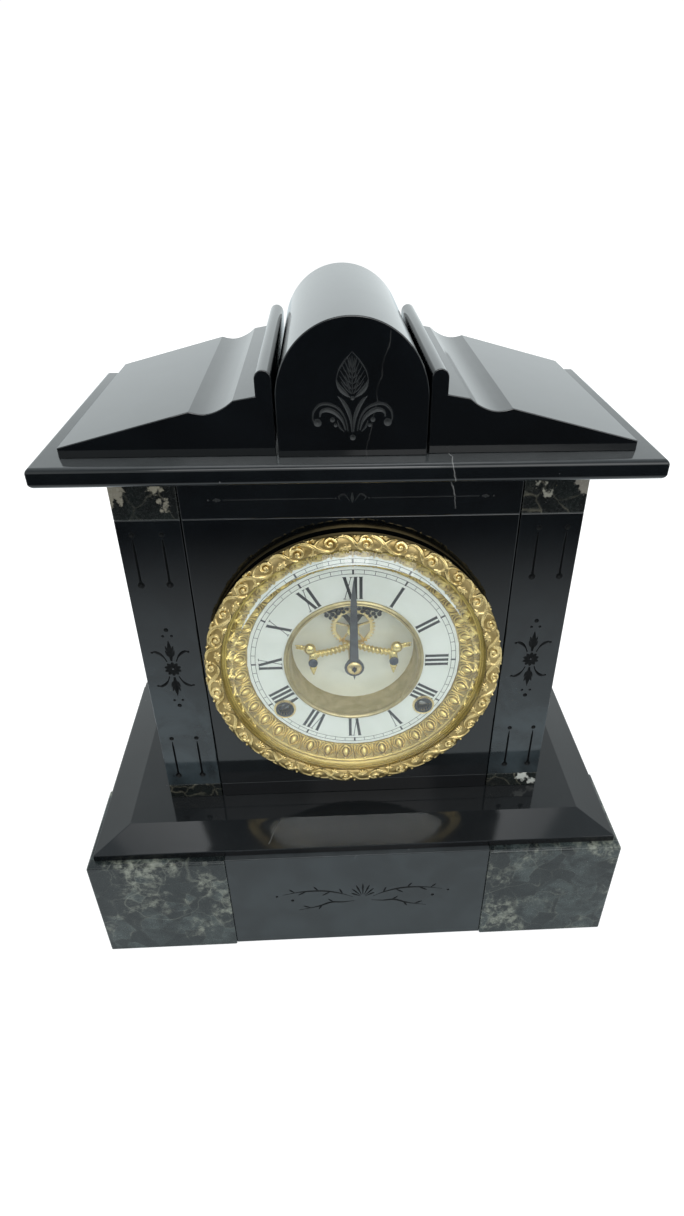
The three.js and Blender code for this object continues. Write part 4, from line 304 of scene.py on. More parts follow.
def polished_slate(name, shift, vein_share, haze=1.0, bloom=0.0, foot_paling=0.0, streak=None):
    """Black slate with a wax polish, thin smears, a few white hairs and rubbed arrises.
    bloom is a pale film all over it; the second amount makes the stone paler the lower it is, from 0.24 m down to
    0.09 m."""
    material, tree, shader, place = fresh(name, shift, IOR=1.5)
    clouds, smears = clouded(tree, place, 16.0, 1500.0), clouded(tree, place, 38.0, 400.0)
    hair = veined(tree, place, 5.0, 0.0011, vein_share, 0.15)
    if streak:
        hair = calc(tree, "MAXIMUM", hair, white_streak(tree, *streak))
    speck = specked(tree, place, 140.0, 0.055, 0.08)
    wear = worn(tree, place, 0.0007)
    dust = use(tree, DUST, Vector=place)["Dust"]
    # Paler towards the body's foot: from 0.24 m down to 0.09 m the pale tone grows.
    foot = eased(tree, split(tree, put(tree, "TexCoord").outputs["Object"])[2], 0.09, 0.24, 1.0, 0.0)
    film = times(tree, calc(tree, "MULTIPLY_ADD", foot, foot_paling, bloom),
                 eased(tree, smears["Cloud"], 0.0, 1.0, 0.45, 1.2))
    rub = times(tree, film, veined(tree, place, 55.0, 0.006, 0.42, 0.0))
    stone = blend(tree, clouds["Cloud"], (0.0005, 0.0009, 0.0014), (0.0017, 0.0026, 0.0036))
    stone = layered(tree, stone, (
        (hair, 0.55, (0.42, 0.43, 0.42)), (speck, 0.5, (0.4, 0.41, 0.42)),
        (wear, 0.3, (0.11, 0.12, 0.125)), (dust, 0.08 * haze, (0.46, 0.5, 0.51)),
        (film, 1.0, (0.3, 0.41, 0.46)), (rub, 0.8, (0.6, 0.64, 0.65))))
    gloss = eased(tree, smears["Cloud"], 0.0, 1.0, 0.045, 0.045 + 0.03 * haze)
    for rough, amount in ((dust, 0.03), (wear, 0.2)):
        gloss = calc(tree, "MULTIPLY_ADD", rough, amount, gloss)
    surfaced(tree, shader, stone, gloss, clouds["Grain"], 0.00002, 0.25)
    return material


def cut_slate(name, deep, pale, shine):
    """The unpolished bottom of an engraved line."""
    material, tree, shader, place = fresh(name, Specular_IOR_Level=shine)
    grain = clouded(tree, place, 60.0, 2500.0)["Grain"]
    surfaced(tree, shader, blend(tree, grain, deep, pale), eased(tree, grain, 0.3, 0.7, 0.42, 0.62),
             grain, 0.00006, 0.5)
    return material


def green_marble(name, shift, turn, dark, light, cream, vein_strength, blotch, blots=()):
    """Dark green brecciated marble: angular fragments, cream seams, pale blotches and long veins.
    Each blot is a ragged patch on the front, given as (x, z, radius, tone)."""
    material, tree, shader, place = fresh(name, shift, turn, IOR=1.5)
    broken, small = shattered(tree, place, 75.0, 0.045), shattered(tree, place, 210.0, 0.1)
    clouds, patches = clouded(tree, place, 80.0, 800.0), clouded(tree, place, 30.0, 210.0)
    patch, mottle = patches["Cloud"], patches["Grain"]
    lighter = times(tree, eased(tree, small["Fragment"], 0.5, 0.9), eased(tree, patch, 0.1, 0.8))
    darker = eased(tree, broken["Fragment"], 0.42, 0.6, 0.0, 0.8)
    pale = times(tree, eased(tree, patch, 0.5, 0.95), eased(tree, mottle, 0.42, 0.64))
    seam = times(tree, broken["Seam"], eased(tree, patch, 0.2, 0.9, 0.08, 0.7))
    crack = times(tree, small["Seam"], eased(tree, patch, 0.35, 0.95, 0.0, 0.6))
    vein = veined(tree, place, 9.0, 0.0035, 0.62, 0.25)
    stone = layered(tree, blend(tree, clouds["Cloud"], dark, light), (
        (lighter, 0.55 * blotch, light), (darker, 1.0, dark), (pale, 0.62 * blotch, cream),
        (seam, 0.7 * vein_strength, cream), (crack, 0.2 * blotch, cream), (vein, 0.6 * vein_strength, cream)))
    spot = put(tree, "TexCoord").outputs["Object"]
    for x, z, radius, tone in blots:
        away = vector(tree, "DISTANCE", spot, (x, BODY_FRONT * MM, z))["Value"]
        ragged = calc(tree, "MULTIPLY_ADD", mottle, -0.016, calc(tree, "ADD", away, 0.008))
        stone = blend(tree, eased(tree, ragged, radius + 0.0009, radius - 0.0009, 0.0, 0.85), stone, tone)
    wear = worn(tree, place, 0.0009)
    stone = layered(tree, stone, ((wear, 0.3, (0.3, 0.32, 0.29)),))
    gloss = calc(tree, "MULTIPLY_ADD", wear, 0.15, eased(tree, clouds["Grain"], 0.3, 0.7, 0.16, 0.3))
    surfaced(tree, shader, stone, gloss, clouds["Grain"], 0.00004, 0.3)
    return material


def cast_gilt(name, bright, deep, dirt, polish, hollows=1.0, chased=False):
    """Gilded casting: bright on its high places, brown in its hollows, a little uneven in polish.
    A chased one also goes by the height that its relief was raised to."""
    material, tree, shader, place = fresh(name, Metallic=1.0)
    clouds = clouded(tree, place, 90.0, 1800.0)
    form = use(tree, HOLLOWS, Low=0.42, High=0.6)
    ridge, hollow = form["Ridge"], form["Hollow"]
    if chased:
        lift = put(tree, "Attribute", {"attribute_name": "relief"}).outputs["Fac"]
        hollow = calc(tree, "MAXIMUM", times(tree, hollow, 0.5), eased(tree, lift, 0.0, 0.5, 0.5, 0.0))
        ridge = calc(tree, "MAXIMUM", ridge, eased(tree, lift, 0.6, 1.0))
    metal = layered(tree, blend(tree, clouds["Cloud"], deep, bright),
                    ((ridge, 0.7, bright), (hollow, hollows, dirt)))
    dull = calc(tree, "MULTIPLY", hollow, 0.3 * hollows, clamp=True)
    uneven = eased(tree, clouds["Grain"], 0.3, 0.7, polish - 0.05, polish + 0.09)
    gloss = calc(tree, "ADD", uneven, dull, clamp=True)
    surfaced(tree, shader, metal, gloss, clouds["Grain"], 0.00005, 0.4)
    return material


def turned_metal(name, bright, deep, polish, worn_tone=None, stretch=None, ringed=False):
    """Turned or rolled metal with fine tool marks, slow tarnish and rubbed edges.
    The marks are stretched one way, or run in rings about the dial's axis."""
    material, tree, shader, place = fresh(name, Metallic=1.0)
    run = place
    if stretch:
        run = vector(tree, "MULTIPLY", place, stretch)[0]
    if ringed:
        from_axis = vector(tree, "SUBTRACT", place, (0, 0, DIAL_CENTRE * MM))[0]
        flat = vector(tree, "MULTIPLY", from_axis, (1, 0, 1))[0]
        radius = put(tree, "VectorMath", {"operation": "LENGTH"}, i0=flat).outputs["Value"]
        run = put(tree, "CombineXYZ", i0=radius).outputs[0]
    metal = blend(tree, clouded(tree, place, 110.0, 2500.0)["Cloud"], deep, bright)
    if worn_tone:
        metal = layered(tree, metal, ((worn(tree, place, 0.0003), 0.6, worn_tone),))
    marks = clouded(tree, run, 300.0, 5000.0)["Grain"]
    surfaced(tree, shader, metal, eased(tree, marks, 0.25, 0.75, polish - 0.06, polish + 0.12),
             marks, 0.00002, 0.35)
    return material


def fired_enamel(name, white, tint, pin_holes=0.35):
    """Glassy white enamel, faintly mottled, with a few pin holes."""
    material, tree, shader, place = fresh(name, IOR=1.5, Coat_Weight=0.5, Coat_Roughness=0.06)
    clouds = clouded(tree, place, 60.0, 700.0)
    speck = specked(tree, place, 170.0, 0.07, 0.05)
    glaze = layered(tree, blend(tree, clouds["Cloud"], white, tint), ((speck, pin_holes, (0.2, 0.18, 0.15)),))
    surfaced(tree, shader, glaze, eased(tree, clouds["Grain"], 0.3, 0.7, 0.14, 0.24),
             clouds["Cloud"], 0.00004, 0.3)
    return material


def painted(name, dark, light, rough):
    """Fired black paint, slightly thin in places."""
    material, tree, shader, place = fresh(name)
    clouds = clouded(tree, place, 220.0, 2500.0)
    surfaced(tree, shader, blend(tree, clouds["Cloud"], dark, light),
             eased(tree, clouds["Grain"], 0.3, 0.7, rough - 0.08, rough + 0.1), clouds["Grain"], 0.00001, 0.3)
    return material


def clear_glass():
    """Old polished glass with the faintest film, which lets the lamps through."""
    material, tree, shader, place = fresh("bevelled_glass", Transmission_Weight=1.0, IOR=1.54)
    film = clouded(tree, place, 45.0, 900.0)["Cloud"]
    feed(shader, Base_Color=blend(tree, film, (0.98, 1.0, 0.99), (0.93, 0.96, 0.94)),
         Roughness=eased(tree, film, 0.4, 1.0, 0.0, 0.025))
    shadow = put(tree, "LightPath").outputs["Is Shadow Ray"]
    through = put(tree, "BsdfTransparent", Color=(0.95, 0.97, 0.96))
    mixed = put(tree, "MixShader", Fac=shadow, i1=shader.outputs[0], i2=through.outputs[0])
    feed(tree.nodes["Material Output"], Surface=mixed.outputs[0])
    return material


# The white streaks of the photograph are given as (x, z, slope, lowest, highest, strength).
slate = polished_slate("case_slate", (0, 0, 0), 0.27, 1.0, 0.004, 0.07,
                       (0.044, 0.28, -0.25, 0.262, 0.3, 0.8))
panel_slate = polished_slate("panel_slate", (0.09, 0.07, 0.2), 0.3, 0.7, 0.001, 0.006)
slate_top = polished_slate("pediment_slate", (0.31, 0.12, 0.05), 0.3,
                           streak=(0.0098, 0.3147, 0.2, 0.29, 0.341, 0.09))
slate_low = polished_slate("plinth_slate", (-0.2, 0.4, 0.11), 0.3, 0.25,
                           streak=(-0.05, 0.08, 1.6, 0.0795, 0.0838, 0.4))
base_slate = polished_slate("base_slate", (0.13, -0.3, 0.21), 0.2, 0.6, 0.03)
graved = cut_slate("graved_slate", (0.0008, 0.001, 0.0012), (0.005, 0.006, 0.0065), 0.12)
pale_graved = cut_slate("pale_graved_slate", (0.008, 0.009, 0.0095), (0.026, 0.029, 0.03), 0.5)

block_marble = green_marble("block_marble", (0.02, 0.1, 0), (0.2, 0.5, 0.1), (0.003, 0.005, 0.0055),
                            (0.036, 0.048, 0.047), (0.25, 0.27, 0.22), 0.42, 0.85)
dark_marble = green_marble("capital_marble", (0.3, 0.02, 0.2), (0.4, 0.1, 0.9), (0.001, 0.002, 0.002),
                           (0.005, 0.008, 0.007), (0.36, 0.34, 0.25), 0.4, 0.04, (
                               (0.101, 0.0915, 0.0024, (0.5, 0.52, 0.48)),
                               (0.1055, 0.0885, 0.0018, (0.5, 0.52, 0.48)),
                               (-0.1075, 0.2725, 0.0052, (0.2, 0.19, 0.15)),
                               (-0.0885, 0.2745, 0.0034, (0.22, 0.21, 0.16)),
                               (-0.0845, 0.267, 0.0026, (0.2, 0.19, 0.15)),
                               (0.108, 0.273, 0.0048, (0.2, 0.19, 0.16)),
                               (0.0855, 0.274, 0.0016, (0.24, 0.24, 0.2)),
                               (0.0915, 0.2685, 0.0015, (0.24, 0.24, 0.2))))

sash_gilt = cast_gilt("sash_gilt", (0.84, 0.655, 0.31), (0.5, 0.36, 0.13), (0.1, 0.058, 0.02), 0.26, chased=True)
casting_back = cast_gilt("casting_back", (0.7, 0.54, 0.25), (0.45, 0.33, 0.13), (0.1, 0.06, 0.02), 0.36)
ring_gilt = cast_gilt("ring_gilt", (0.88, 0.68, 0.25), (0.58, 0.42, 0.13), (0.14, 0.09, 0.03), 0.34, chased=True)
bridge_gilt = cast_gilt("bridge_gilt", (0.9, 0.74, 0.34), (0.74, 0.57, 0.22), (0.2, 0.13, 0.05), 0.26, 0.7)
movement_brass = turned_metal("movement_brass", (0.7, 0.53, 0.25), (0.6, 0.44, 0.2), 0.3, (0.85, 0.68, 0.38))
door_brass = turned_metal("door_brass", (0.6, 0.47, 0.24), (0.545, 0.42, 0.2), 0.3, (0.8, 0.66, 0.4), ringed=True)
wheel_gilt = turned_metal("wheel_gilt", (0.93, 0.76, 0.42), (0.8, 0.6, 0.28), 0.24)
wall_gilt = turned_metal("wall_gilt", (0.6, 0.5, 0.29), (0.42, 0.34, 0.17), 0.36, stretch=(1, 6, 1))
cut_steel = turned_metal("cut_steel", (0.5, 0.5, 0.51), (0.3, 0.3, 0.31), 0.32, (0.7, 0.7, 0.7))
blued_steel = turned_metal("blued_steel", (0.1, 0.11, 0.14), (0.055, 0.062, 0.085), 0.34, (0.3, 0.32, 0.36))
hand_steel = turned_metal("hand_steel", (0.155, 0.16, 0.172), (0.09, 0.092, 0.102), 0.36, (0.36, 0.37, 0.39))
dark_steel = turned_metal("anchor_steel", (0.05, 0.052, 0.055), (0.025, 0.026, 0.03), 0.3, (0.3, 0.3, 0.32))
black_iron = turned_metal("black_iron", (0.09, 0.085, 0.08), (0.04, 0.038, 0.036), 0.5)

dial_enamel = fired_enamel("dial_enamel", (0.93, 0.945, 0.9), (0.87, 0.885, 0.83))
disc_enamel = fired_enamel("disc_enamel", (0.93, 0.92, 0.8), (0.86, 0.85, 0.73), 0.5)
# The same black lines the winding holes' throats, where it is painted shade.
dial_ink_and_hole_shade = painted("dial_ink_and_hole_shade", (0.006, 0.006, 0.008), (0.02, 0.02, 0.024), 0.35)
glass = clear_glass()


# Shapes.

def into_frame(up=0.0):
    """From working millimetres to the frame's metres, up by so many millimetres."""
    return Matrix.Translation((0, BODY_FRONT * MM, up * MM)) @ Matrix.Diagonal((MM, MM, MM, 1))


def shade_round(mesh, crease):
    """Shaded smooth, but sharp where faces turn by more than crease degrees."""
    mesh.shade_smooth()
    mesh.set_sharp_from_angle(angle=math.radians(crease))


def finished(bm, name, material, body, replaces=(), up=0.0, crease=35, extra=()):
    """Closes a mesh, sets it into the frame and hands it to its body."""
    bmesh.ops.remove_doubles(bm, verts=bm.verts, dist=1e-4)
    bmesh.ops.recalc_face_normals(bm, faces=bm.faces)
    bmesh.ops.transform(bm, matrix=into_frame(up), verts=bm.verts)
    mesh = bpy.data.meshes.new(name)
    bm.to_mesh(mesh)
    bm.free()
    shade_round(mesh, crease)
    for finish in (material, *extra):
        mesh.materials.append(finish)
    piece = bpy.data.objects.new(name, mesh)
    bpy.context.collection.objects.link(piece)
    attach(piece, body)
    if replaces:
        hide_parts(*replaces)
    return piece


def arrised(bm, offset, segments=2, from_angle=25):
    """A small rounded arris on every edge that turns by more than from_angle degrees."""
    sharp = [e for e in bm.edges
             if len(e.link_faces) == 2 and e.calc_face_angle() > math.radians(from_angle)]
    bmesh.ops.bevel(bm, geom=sharp, offset=offset, offset_type="OFFSET", affect="EDGES",
                    segments=segments, profile=0.5, material=-1, clamp_overlap=True)


def rounded(node, offset, segments=2, from_angle=25):
    """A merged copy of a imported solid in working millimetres, with rounded arrises."""
    bm = bmesh.new()
    bm.from_mesh(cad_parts[node].data)
    back = Matrix.Translation((0, -BODY_FRONT, 0)) @ Matrix.Diagonal((1 / MM, 1 / MM, 1 / MM, 1))
    bmesh.ops.transform(bm, matrix=back, verts=bm.verts)
    bmesh.ops.remove_doubles(bm, verts=bm.verts, dist=0.002)
    bmesh.ops.dissolve_limit(bm, angle_limit=math.radians(0.5), verts=bm.verts, edges=bm.edges)
    arrised(bm, offset, segments, from_angle)
    return bm


def spun(profile, facets=144, start=0.0, angle=TURN, bm=None):
    """A closed profile of (radius, depth) turned about the dial's axis."""
    if bm is None:
        bm = bmesh.new()
    aim = Vector((math.sin(start), 0, math.cos(start)))
    ring = [bm.verts.new(aim * radius + Vector((0, depth, 0))) for radius, depth in profile]
    whole = angle == TURN
    if whole:
        turned = ring + [bm.edges.new((a, b)) for a, b in zip(ring, ring[1:] + ring[:1])]
    else:
        turned = bmesh.ops.contextual_create(bm, geom=ring)["faces"]
    bmesh.ops.spin(bm, geom=turned, cent=(0, 0, 0), axis=(0, 1, 0), angle=angle,
                   steps=facets, use_merge=whole, use_duplicate=False)
    bmesh.ops.remove_doubles(bm, verts=bm.verts, dist=1e-4)
    return bm


def moved(bm, x, z):
    """Moves a shape sideways and up."""
    bmesh.ops.translate(bm, verts=bm.verts, vec=(x, 0, z))
    return bm


def swept(bm, sections):
    """Carries a flat outline through a row of sections of as many corners."""
    ring = [bm.verts.new(p) for p in sections[0]]
    face = bm.faces.new(ring)
    for section in sections[1:]:
        grown = bmesh.ops.extrude_face_region(bm, geom=[face, *face.edges])["geom"]
        corners = {v for v in grown if isinstance(v, bmesh.types.BMVert)}
        face = next(f for f in grown if isinstance(f, bmesh.types.BMFace))
        ring = [next(e.other_vert(v) for e in v.link_edges if e.other_vert(v) in corners) for v in ring]
        for corner, point in zip(ring, section):
            corner.co = point


def prism(bm, outline, front, back):
    """An outline of (x, z) carried straight from front to back."""
    swept(bm, [[Vector((x, depth, z)) for x, z in outline] for depth in (front, back)])


def smoothed(points, steps=6):
    """A smooth line through a few points, with as many steps between each two."""
    line = []
    padded = [points[0], *points, points[-1]]
    for i in range(1, len(padded) - 2):
        p0, p1, p2, p3 = (Vector(p) for p in padded[i - 1:i + 3])
        for k in range(steps):
            t = k / steps
            line.append(tuple(0.5 * ((2 * p1) + (p2 - p0) * t + (2 * p0 - 5 * p1 + 4 * p2 - p3) * t * t
                                     + (3 * p1 - p0 - 3 * p2 + p3) * t ** 3)))
    line.append(tuple(points[-1]))
    return line


def coil(x, z, outer, inner, start, turns, steps=18):
    """A spiral from its outer end to its eye; turns below nought run clockwise."""
    line = []
    for k in range(steps + 1):
        share = k / steps
        angle = math.radians(start) + share * turns * TURN
        radius = outer + (inner - outer) * share ** 0.8
        line.append((x + radius * math.cos(angle), z + radius * math.sin(angle)))
    return line


def ray(x, z, angle, reach, shares):
    """Places out from (x, z) at an angle in degrees, each at its share of the reach."""
    c, s = math.cos(math.radians(angle)), math.sin(math.radians(angle))
    return [(x + c * reach * share, z + s * reach * share) for share in shares]


def arc(x, z, radius, steps):
    """A half circle from left to right over (x, z)."""
    return [(x - radius * math.cos(math.pi * k / steps), z + radius * math.sin(math.pi * k / steps))
            for k in range(steps + 1)]


def swell(count, widest, tip=0.18, at=0.5):
    """Widths that grow from a fine point to widest, a share at along the line, and back."""
    bend = math.log(0.5) / math.log(at)
    return [widest * max(tip, math.sin(math.pi * min(1.0, (k / (count - 1)) ** bend))) for k in range(count)]


# Engraving.

class Graver:
    """Draws cutters into one stone's front face, about a middle and mirrored by side and up."""

    def __init__(self, face=0.0):
        self.face, self.cutters = face, []
        self.aim()

    def aim(self, x=0.0, z=0.0, side=1, up=1):
        self.x, self.z, self.side, self.up = x, z, side, up

    def at(self, x, z):
        return Vector((self.x + self.side * x, self.z + self.up * z))

    def lift(self):
        """How far a cutter stands out of the stone: no two that meet stand equally far."""
        return 0.2 + 0.002 * (len(self.cutters) % 20)

    def groove(self, points, widths, depth_share=0.55):
        """A V-shaped line, as wide and deep as each width says."""
        line, lift = [self.at(*p) for p in points], self.lift()
        sections = []
        for i, point in enumerate(line):
            ahead = (line[min(i + 1, len(line) - 1)] - line[max(i - 1, 0)]).normalized()
            depth = max(0.06, widths[i] * depth_share)
            side = Vector((-ahead.y, ahead.x)) * (widths[i] / 2 * (1 + lift / depth))
            corners = ((point + side, -lift), (point - side, -lift), (point, depth))
            sections.append([Vector((place.x, self.face + deep, place.y)) for place, deep in corners])
        bm = bmesh.new()
        swept(bm, sections)
        self.cutters.append(bm)

    def curve(self, points, steps, widest, tip=0.18, at=0.5, depth_share=0.55):
        """A flowing line through a few points, which swells from a fine point and back."""
        line = smoothed(points, steps)
        self.groove(line, swell(len(line), widest, tip, at), depth_share)

    def dot(self, x, z, radius, facets=12):
        """A small conical dimple."""
        place, lift, depth = self.at(x, z), self.lift(), radius * 0.8
        turned = (Matrix.Translation((place.x, self.face + (depth - lift) / 2, place.y))
                  @ Matrix.Rotation(math.radians(-90), 4, "X"))
        bm = bmesh.new()
        bmesh.ops.create_cone(bm, cap_ends=True, segments=facets, radius1=radius * (1 + lift / depth),
                              radius2=0.02, depth=depth + lift, matrix=turned)
        self.cutters.append(bm)


def apart(box, others):
    """Whether a box of (x from, x to, z from, z to) is clear of all the others."""
    return all(box[1] < o[0] or o[1] < box[0] or box[3] < o[2] or o[3] < box[2] for o in others)


def cutter_layers(cutters):
    """The cutters shared out so that no two in a layer meet."""
    layers = []
    for bm in cutters:
        xs, zs = [v.co.x for v in bm.verts], [v.co.z for v in bm.verts]
        box = (min(xs) - 0.05, max(xs) + 0.05, min(zs) - 0.05, max(zs) + 0.05)
        layer = next((one for one in layers if apart(box, one[0])), None)
        if layer is None:
            layer = ([], bmesh.new())
            layers.append(layer)
        layer[0].append(box)
        bmesh.ops.recalc_face_normals(bm, faces=bm.faces)
        if bm.calc_volume(signed=True) < 0:
            bmesh.ops.reverse_faces(bm, faces=bm.faces)
        stroke = bpy.data.meshes.new("stroke")
        bm.to_mesh(stroke)
        bm.free()
        layer[1].from_mesh(stroke)
        bpy.data.meshes.remove(stroke)
    return [layer for _, layer in layers]


def engraved(bm, graver, name, node, material, cut_finish):
    """Cuts the graver's strokes out of a stone and leaves their walls unpolished."""
    stone = finished(bm, name, material, "case", (node,), crease=STONE_CREASE, extra=(cut_finish,))
    tools = []
    for layer in cutter_layers(graver.cutters):
        for face in layer.faces:
            face.material_index = 1
        bmesh.ops.transform(layer, matrix=into_frame(), verts=layer.verts)
        mesh = bpy.data.meshes.new(name + "_strokes")
        layer.to_mesh(mesh)
        layer.free()
        for finish in (material, cut_finish):
            mesh.materials.append(finish)
        tool = bpy.data.objects.new(name + "_strokes", mesh)
        bpy.context.collection.objects.link(tool)
        tools.append(tool)
        carve = stone.modifiers.new("carve", "BOOLEAN")
        carve.object, carve.operation, carve.solver = tool, "DIFFERENCE", "MANIFOLD"
    bpy.context.view_layer.update()
    cut = bpy.data.meshes.new_from_object(stone.evaluated_get(bpy.context.evaluated_depsgraph_get()))
    stone.modifiers.clear()
    for tool in tools:
        bpy.data.objects.remove(tool)
    cut.name = name
    stone.data = cut
    shade_round(cut, STONE_CREASE)
    lined = bmesh.new()
    lined.from_mesh(cut)
    for edge in lined.edges:
        if len({f.material_index for f in edge.link_faces}) > 1:
            edge.smooth = False
    lined.to_mesh(cut)
    lined.free()


def grave_pilaster(side):
    """Two pairs of drop lines, and between them a rosette with buds, leaves, tendrils and dots."""
    graver = Graver()
    graver.aim(side=side)
    for x in (88.5, 102.2):
        for low, high in ((226.4, 249.6), (102.6, 127.4)):
            graver.groove([(x, low), (x, low + 3), (x, high - 4), (x, high)], [1.6, 1.15, 1.05, 0.4])
            graver.dot(x, low - 0.6, 1.75)
            graver.dot(x, high + 2.2, 1.3)
    rosette = (side * 94.4, 176.5)
    graver.aim(*rosette)
    for k in range(10):
        petal = ray(0, 0, 36 * k + 17.1887, 1, (0.5, 1.5, 2.7, 3.7, 4.4))
        graver.groove(petal, [0.4, 1.2, 2.1, 1.6, 0.3], 0.35)
    for up in (1, -1):
        graver.aim(*rosette, up=up)
        graver.groove([(0, z) for z in (5.0, 8.0, 11.0, 14.0, 17.6)], [1.0, 2.0, 3.2, 2.0, 0.2], 0.35)
        for out in (1, -1):
            graver.aim(*rosette, out, up)
            for low, high, reach in ((7.2, 11.6, 2.3), (9.8, 14.2, 2.0)):
                graver.curve([(0, low), (reach * 0.6, low + 1.8), (reach, high)], 3, 1.4, 0.25, depth_share=0.35)
            graver.curve([(2.4, 4.6), (3.6, 7.4), (5.4, 9.6), (7.6, 10.8), (9.2, 10.6)], 5, 1.6, 0.4, 0.6, 0.45)
            graver.dot(2.2, 20.2, 0.75)
            graver.dot(9.2, 10.5, 0.7)
        graver.dot(0, 23.8, 1.2)
    return graver


def grave_frieze():
    """One long line with lozenge ends and a small scroll in its middle."""
    graver = Graver()
    for side in (-1, 1):
        graver.aim(0, 268.0, side)
        graver.groove([(8.5, 0), (30, 0), (58.5, 0)], [0.35, 0.5, 0.45])
        graver.groove([(59.6, 0), (61.4, 0), (63.2, 0)], [0.3, 1.7, 0.3], 0.4)
        graver.dot(65.2, 0, 0.45)
        graver.curve([(1.2, -1.4), (3.6, 1.8), (6.2, 0.6), (5.4, -0.8)], 4, 0.8)
        graver.dot(7.6, 0, 0.4)
    graver.groove([(0, -2.2), (0, 0), (0, 2.6)], [0.3, 1.5, 0.3], 0.4)
    return graver


def grave_arch():
    """A feathered bud on a stem between two slender blades, with broad curled leaves each side."""
    graver = Graver(ARCH_FACE)
    for side in (-1, 1):
        graver.aim(side=side)
        graver.curve([(0, 333.4), (2.8, 330.4), (5.4, 326.6), (6.4, 323.0)], 5, 0.5, 0.35)
        graver.curve([(6.4, 322.9), (5.2, 320.2), (3.0, 317.8), (0.9, 316.2)], 4, 1.9, 0.25, depth_share=0.4)
        for low, high, reach in ((317.6, 322.4, 4.6), (319.4, 324.6, 5.2), (321.4, 326.6, 4.8),
                                 (323.4, 328.4, 4.0), (325.4, 330.0, 3.0), (327.4, 331.4, 1.9)):
            for rib in (0.55 * reach, reach):
                graver.curve([(0.3, low), (rib * 0.5, low + 1.6), (rib, high)], 3, 0.4, 0.35)
        graver.curve([(1.9, 302.8), (2.9, 307.6), (5.4, 311.6), (9.4, 313.6), (13.2, 313.4), (15.8, 310.8),
                      (16.2, 307.6), (15.0, 306.0)], 5, 1.0, 0.5)
        graver.curve([(2.9, 303.2), (4.4, 307.4), (7.2, 310.3), (10.4, 311.4), (12.8, 310.6), (13.4, 308.6)],
                     5, 1.9, 0.3, depth_share=0.4)
        graver.dot(14.4, 306.3, 1.6, 18)
        graver.dot(8.3, 307.4, 1.0)
        graver.dot(7.0, 305.2, 0.75)
        graver.curve([(3.6, 302.6), (5.4, 304.6), (6.2, 307.0)], 4, 0.7, 0.4)
        graver.curve([(0.3, 302.4), (0.8, 307.6), (2.2, 311.8), (4.2, 315.0), (5.9, 316.6)],
                     4, 1.6, 0.25, depth_share=0.4)
    graver.dot(0, 315.9, 0.8)
    graver.dot(0, 300.2, 1.2)
    graver.groove([(0, 317.6), (0, 324), (0, 331.8)], [0.3, 0.5, 0.2])
    return graver


def grave_base():
    """A shallow fan of rays with two loose twigs each side."""
    graver, fan = Graver(BASE_FACE), (2.5, 38.0)
    graver.aim(*fan)
    for angle, reach in ((90, 12), (70, 11.5), (110, 11.5), (50, 10), (130, 10), (30, 8), (150, 8)):
        graver.groove(ray(0, 0, angle, reach, (0.2, 0.45, 0.72, 0.9, 1.0)), [0.3, 0.7, 1.2, 0.8, 0.25], 0.3)
    for side in (-1, 1):
        graver.aim(*fan, side)
        for twig, wide in ((((6, 0.5), (14, 4.5), (24, 7.0), (36, 6.8), (47, 4.6)), 1.3),
                           (((5, -3.0), (12, -3.8), (19, -3.6), (27, -7.0), (38, -9.6)), 1.4)):
            graver.curve(twig, 6, wide, 0.3, depth_share=0.4)
        for x, z, angle, reach in ((12, 3.6, 70, 5), (19, 6.2, -35, 6), (26, 7.0, 55, 5), (33, 7.0, -30, 6),
                                   (40, 6.2, 45, 4.5), (17, -3.7, 40, 5), (24, -5.4, -60, 5), (31, -8.0, 25, 5)):
            graver.groove(ray(x, z, angle, reach, (0.0, 0.3, 0.6, 0.85, 1.0)), [0.3, 0.9, 1.2, 0.7, 0.2], 0.3)
        graver.dot(41.5, -0.6, 1.0)
        graver.dot(50.5, 3.4, 0.8)
    return graver


# The case.

def dress_stone(node, material, arris, segments=2):
    """A packed stone with its arrises rounded."""
    finished(rounded(node, arris, segments), node + "_stone", material, "case", (node,),
             crease=STONE_CREASE)


def dress_case():
    """The plain stones of the base, the body and the cornice, and the marble."""
    for node in ("base_core", "side_wall_left", "side_wall_right", "back_panel"):
        dress_stone(node, slate_low, 0.5)
    for node, material in (("plinth_slab", slate_low), ("foot_rail", slate_low), ("front_panel", panel_slate)):
        dress_stone(node, material, 0.35)
    dress_stone("cornice_slab", slate, 0.7, 3)
    for name, _ in SIDES:
        dress_stone("base_block_" + name, block_marble, 0.8, 3)
        dress_stone("pilaster_foot_" + name, dark_marble, 0.4)
        dress_stone("capital_" + name, dark_marble, 0.4)


def dress_engraved():
    """The stones below the pediment that the graver worked on."""
    for name, side in SIDES:
        node = "pilaster_" + name
        engraved(rounded(node, 0.35), grave_pilaster(side), node + "_stone", node, slate, graved)
    engraved(rounded("frieze_rail", 0.35), grave_frieze(), "frieze_rail_stone", "frieze_rail", slate, pale_graved)
    engraved(rounded("base_front_panel", 0.3), grave_base(), "base_front_panel_stone", "base_front_panel",
             base_slate, graved)


def stone_prism(outline, face, arris, segments, from_angle):
    """A stone of the pediment, from its outline seen from the front."""
    bm = bmesh.new()
    prism(bm, outline, face, PEDIMENT_BACK)
    bmesh.ops.recalc_face_normals(bm, faces=bm.faces)
    arrised(bm, arris, segments, from_angle)
    return bm


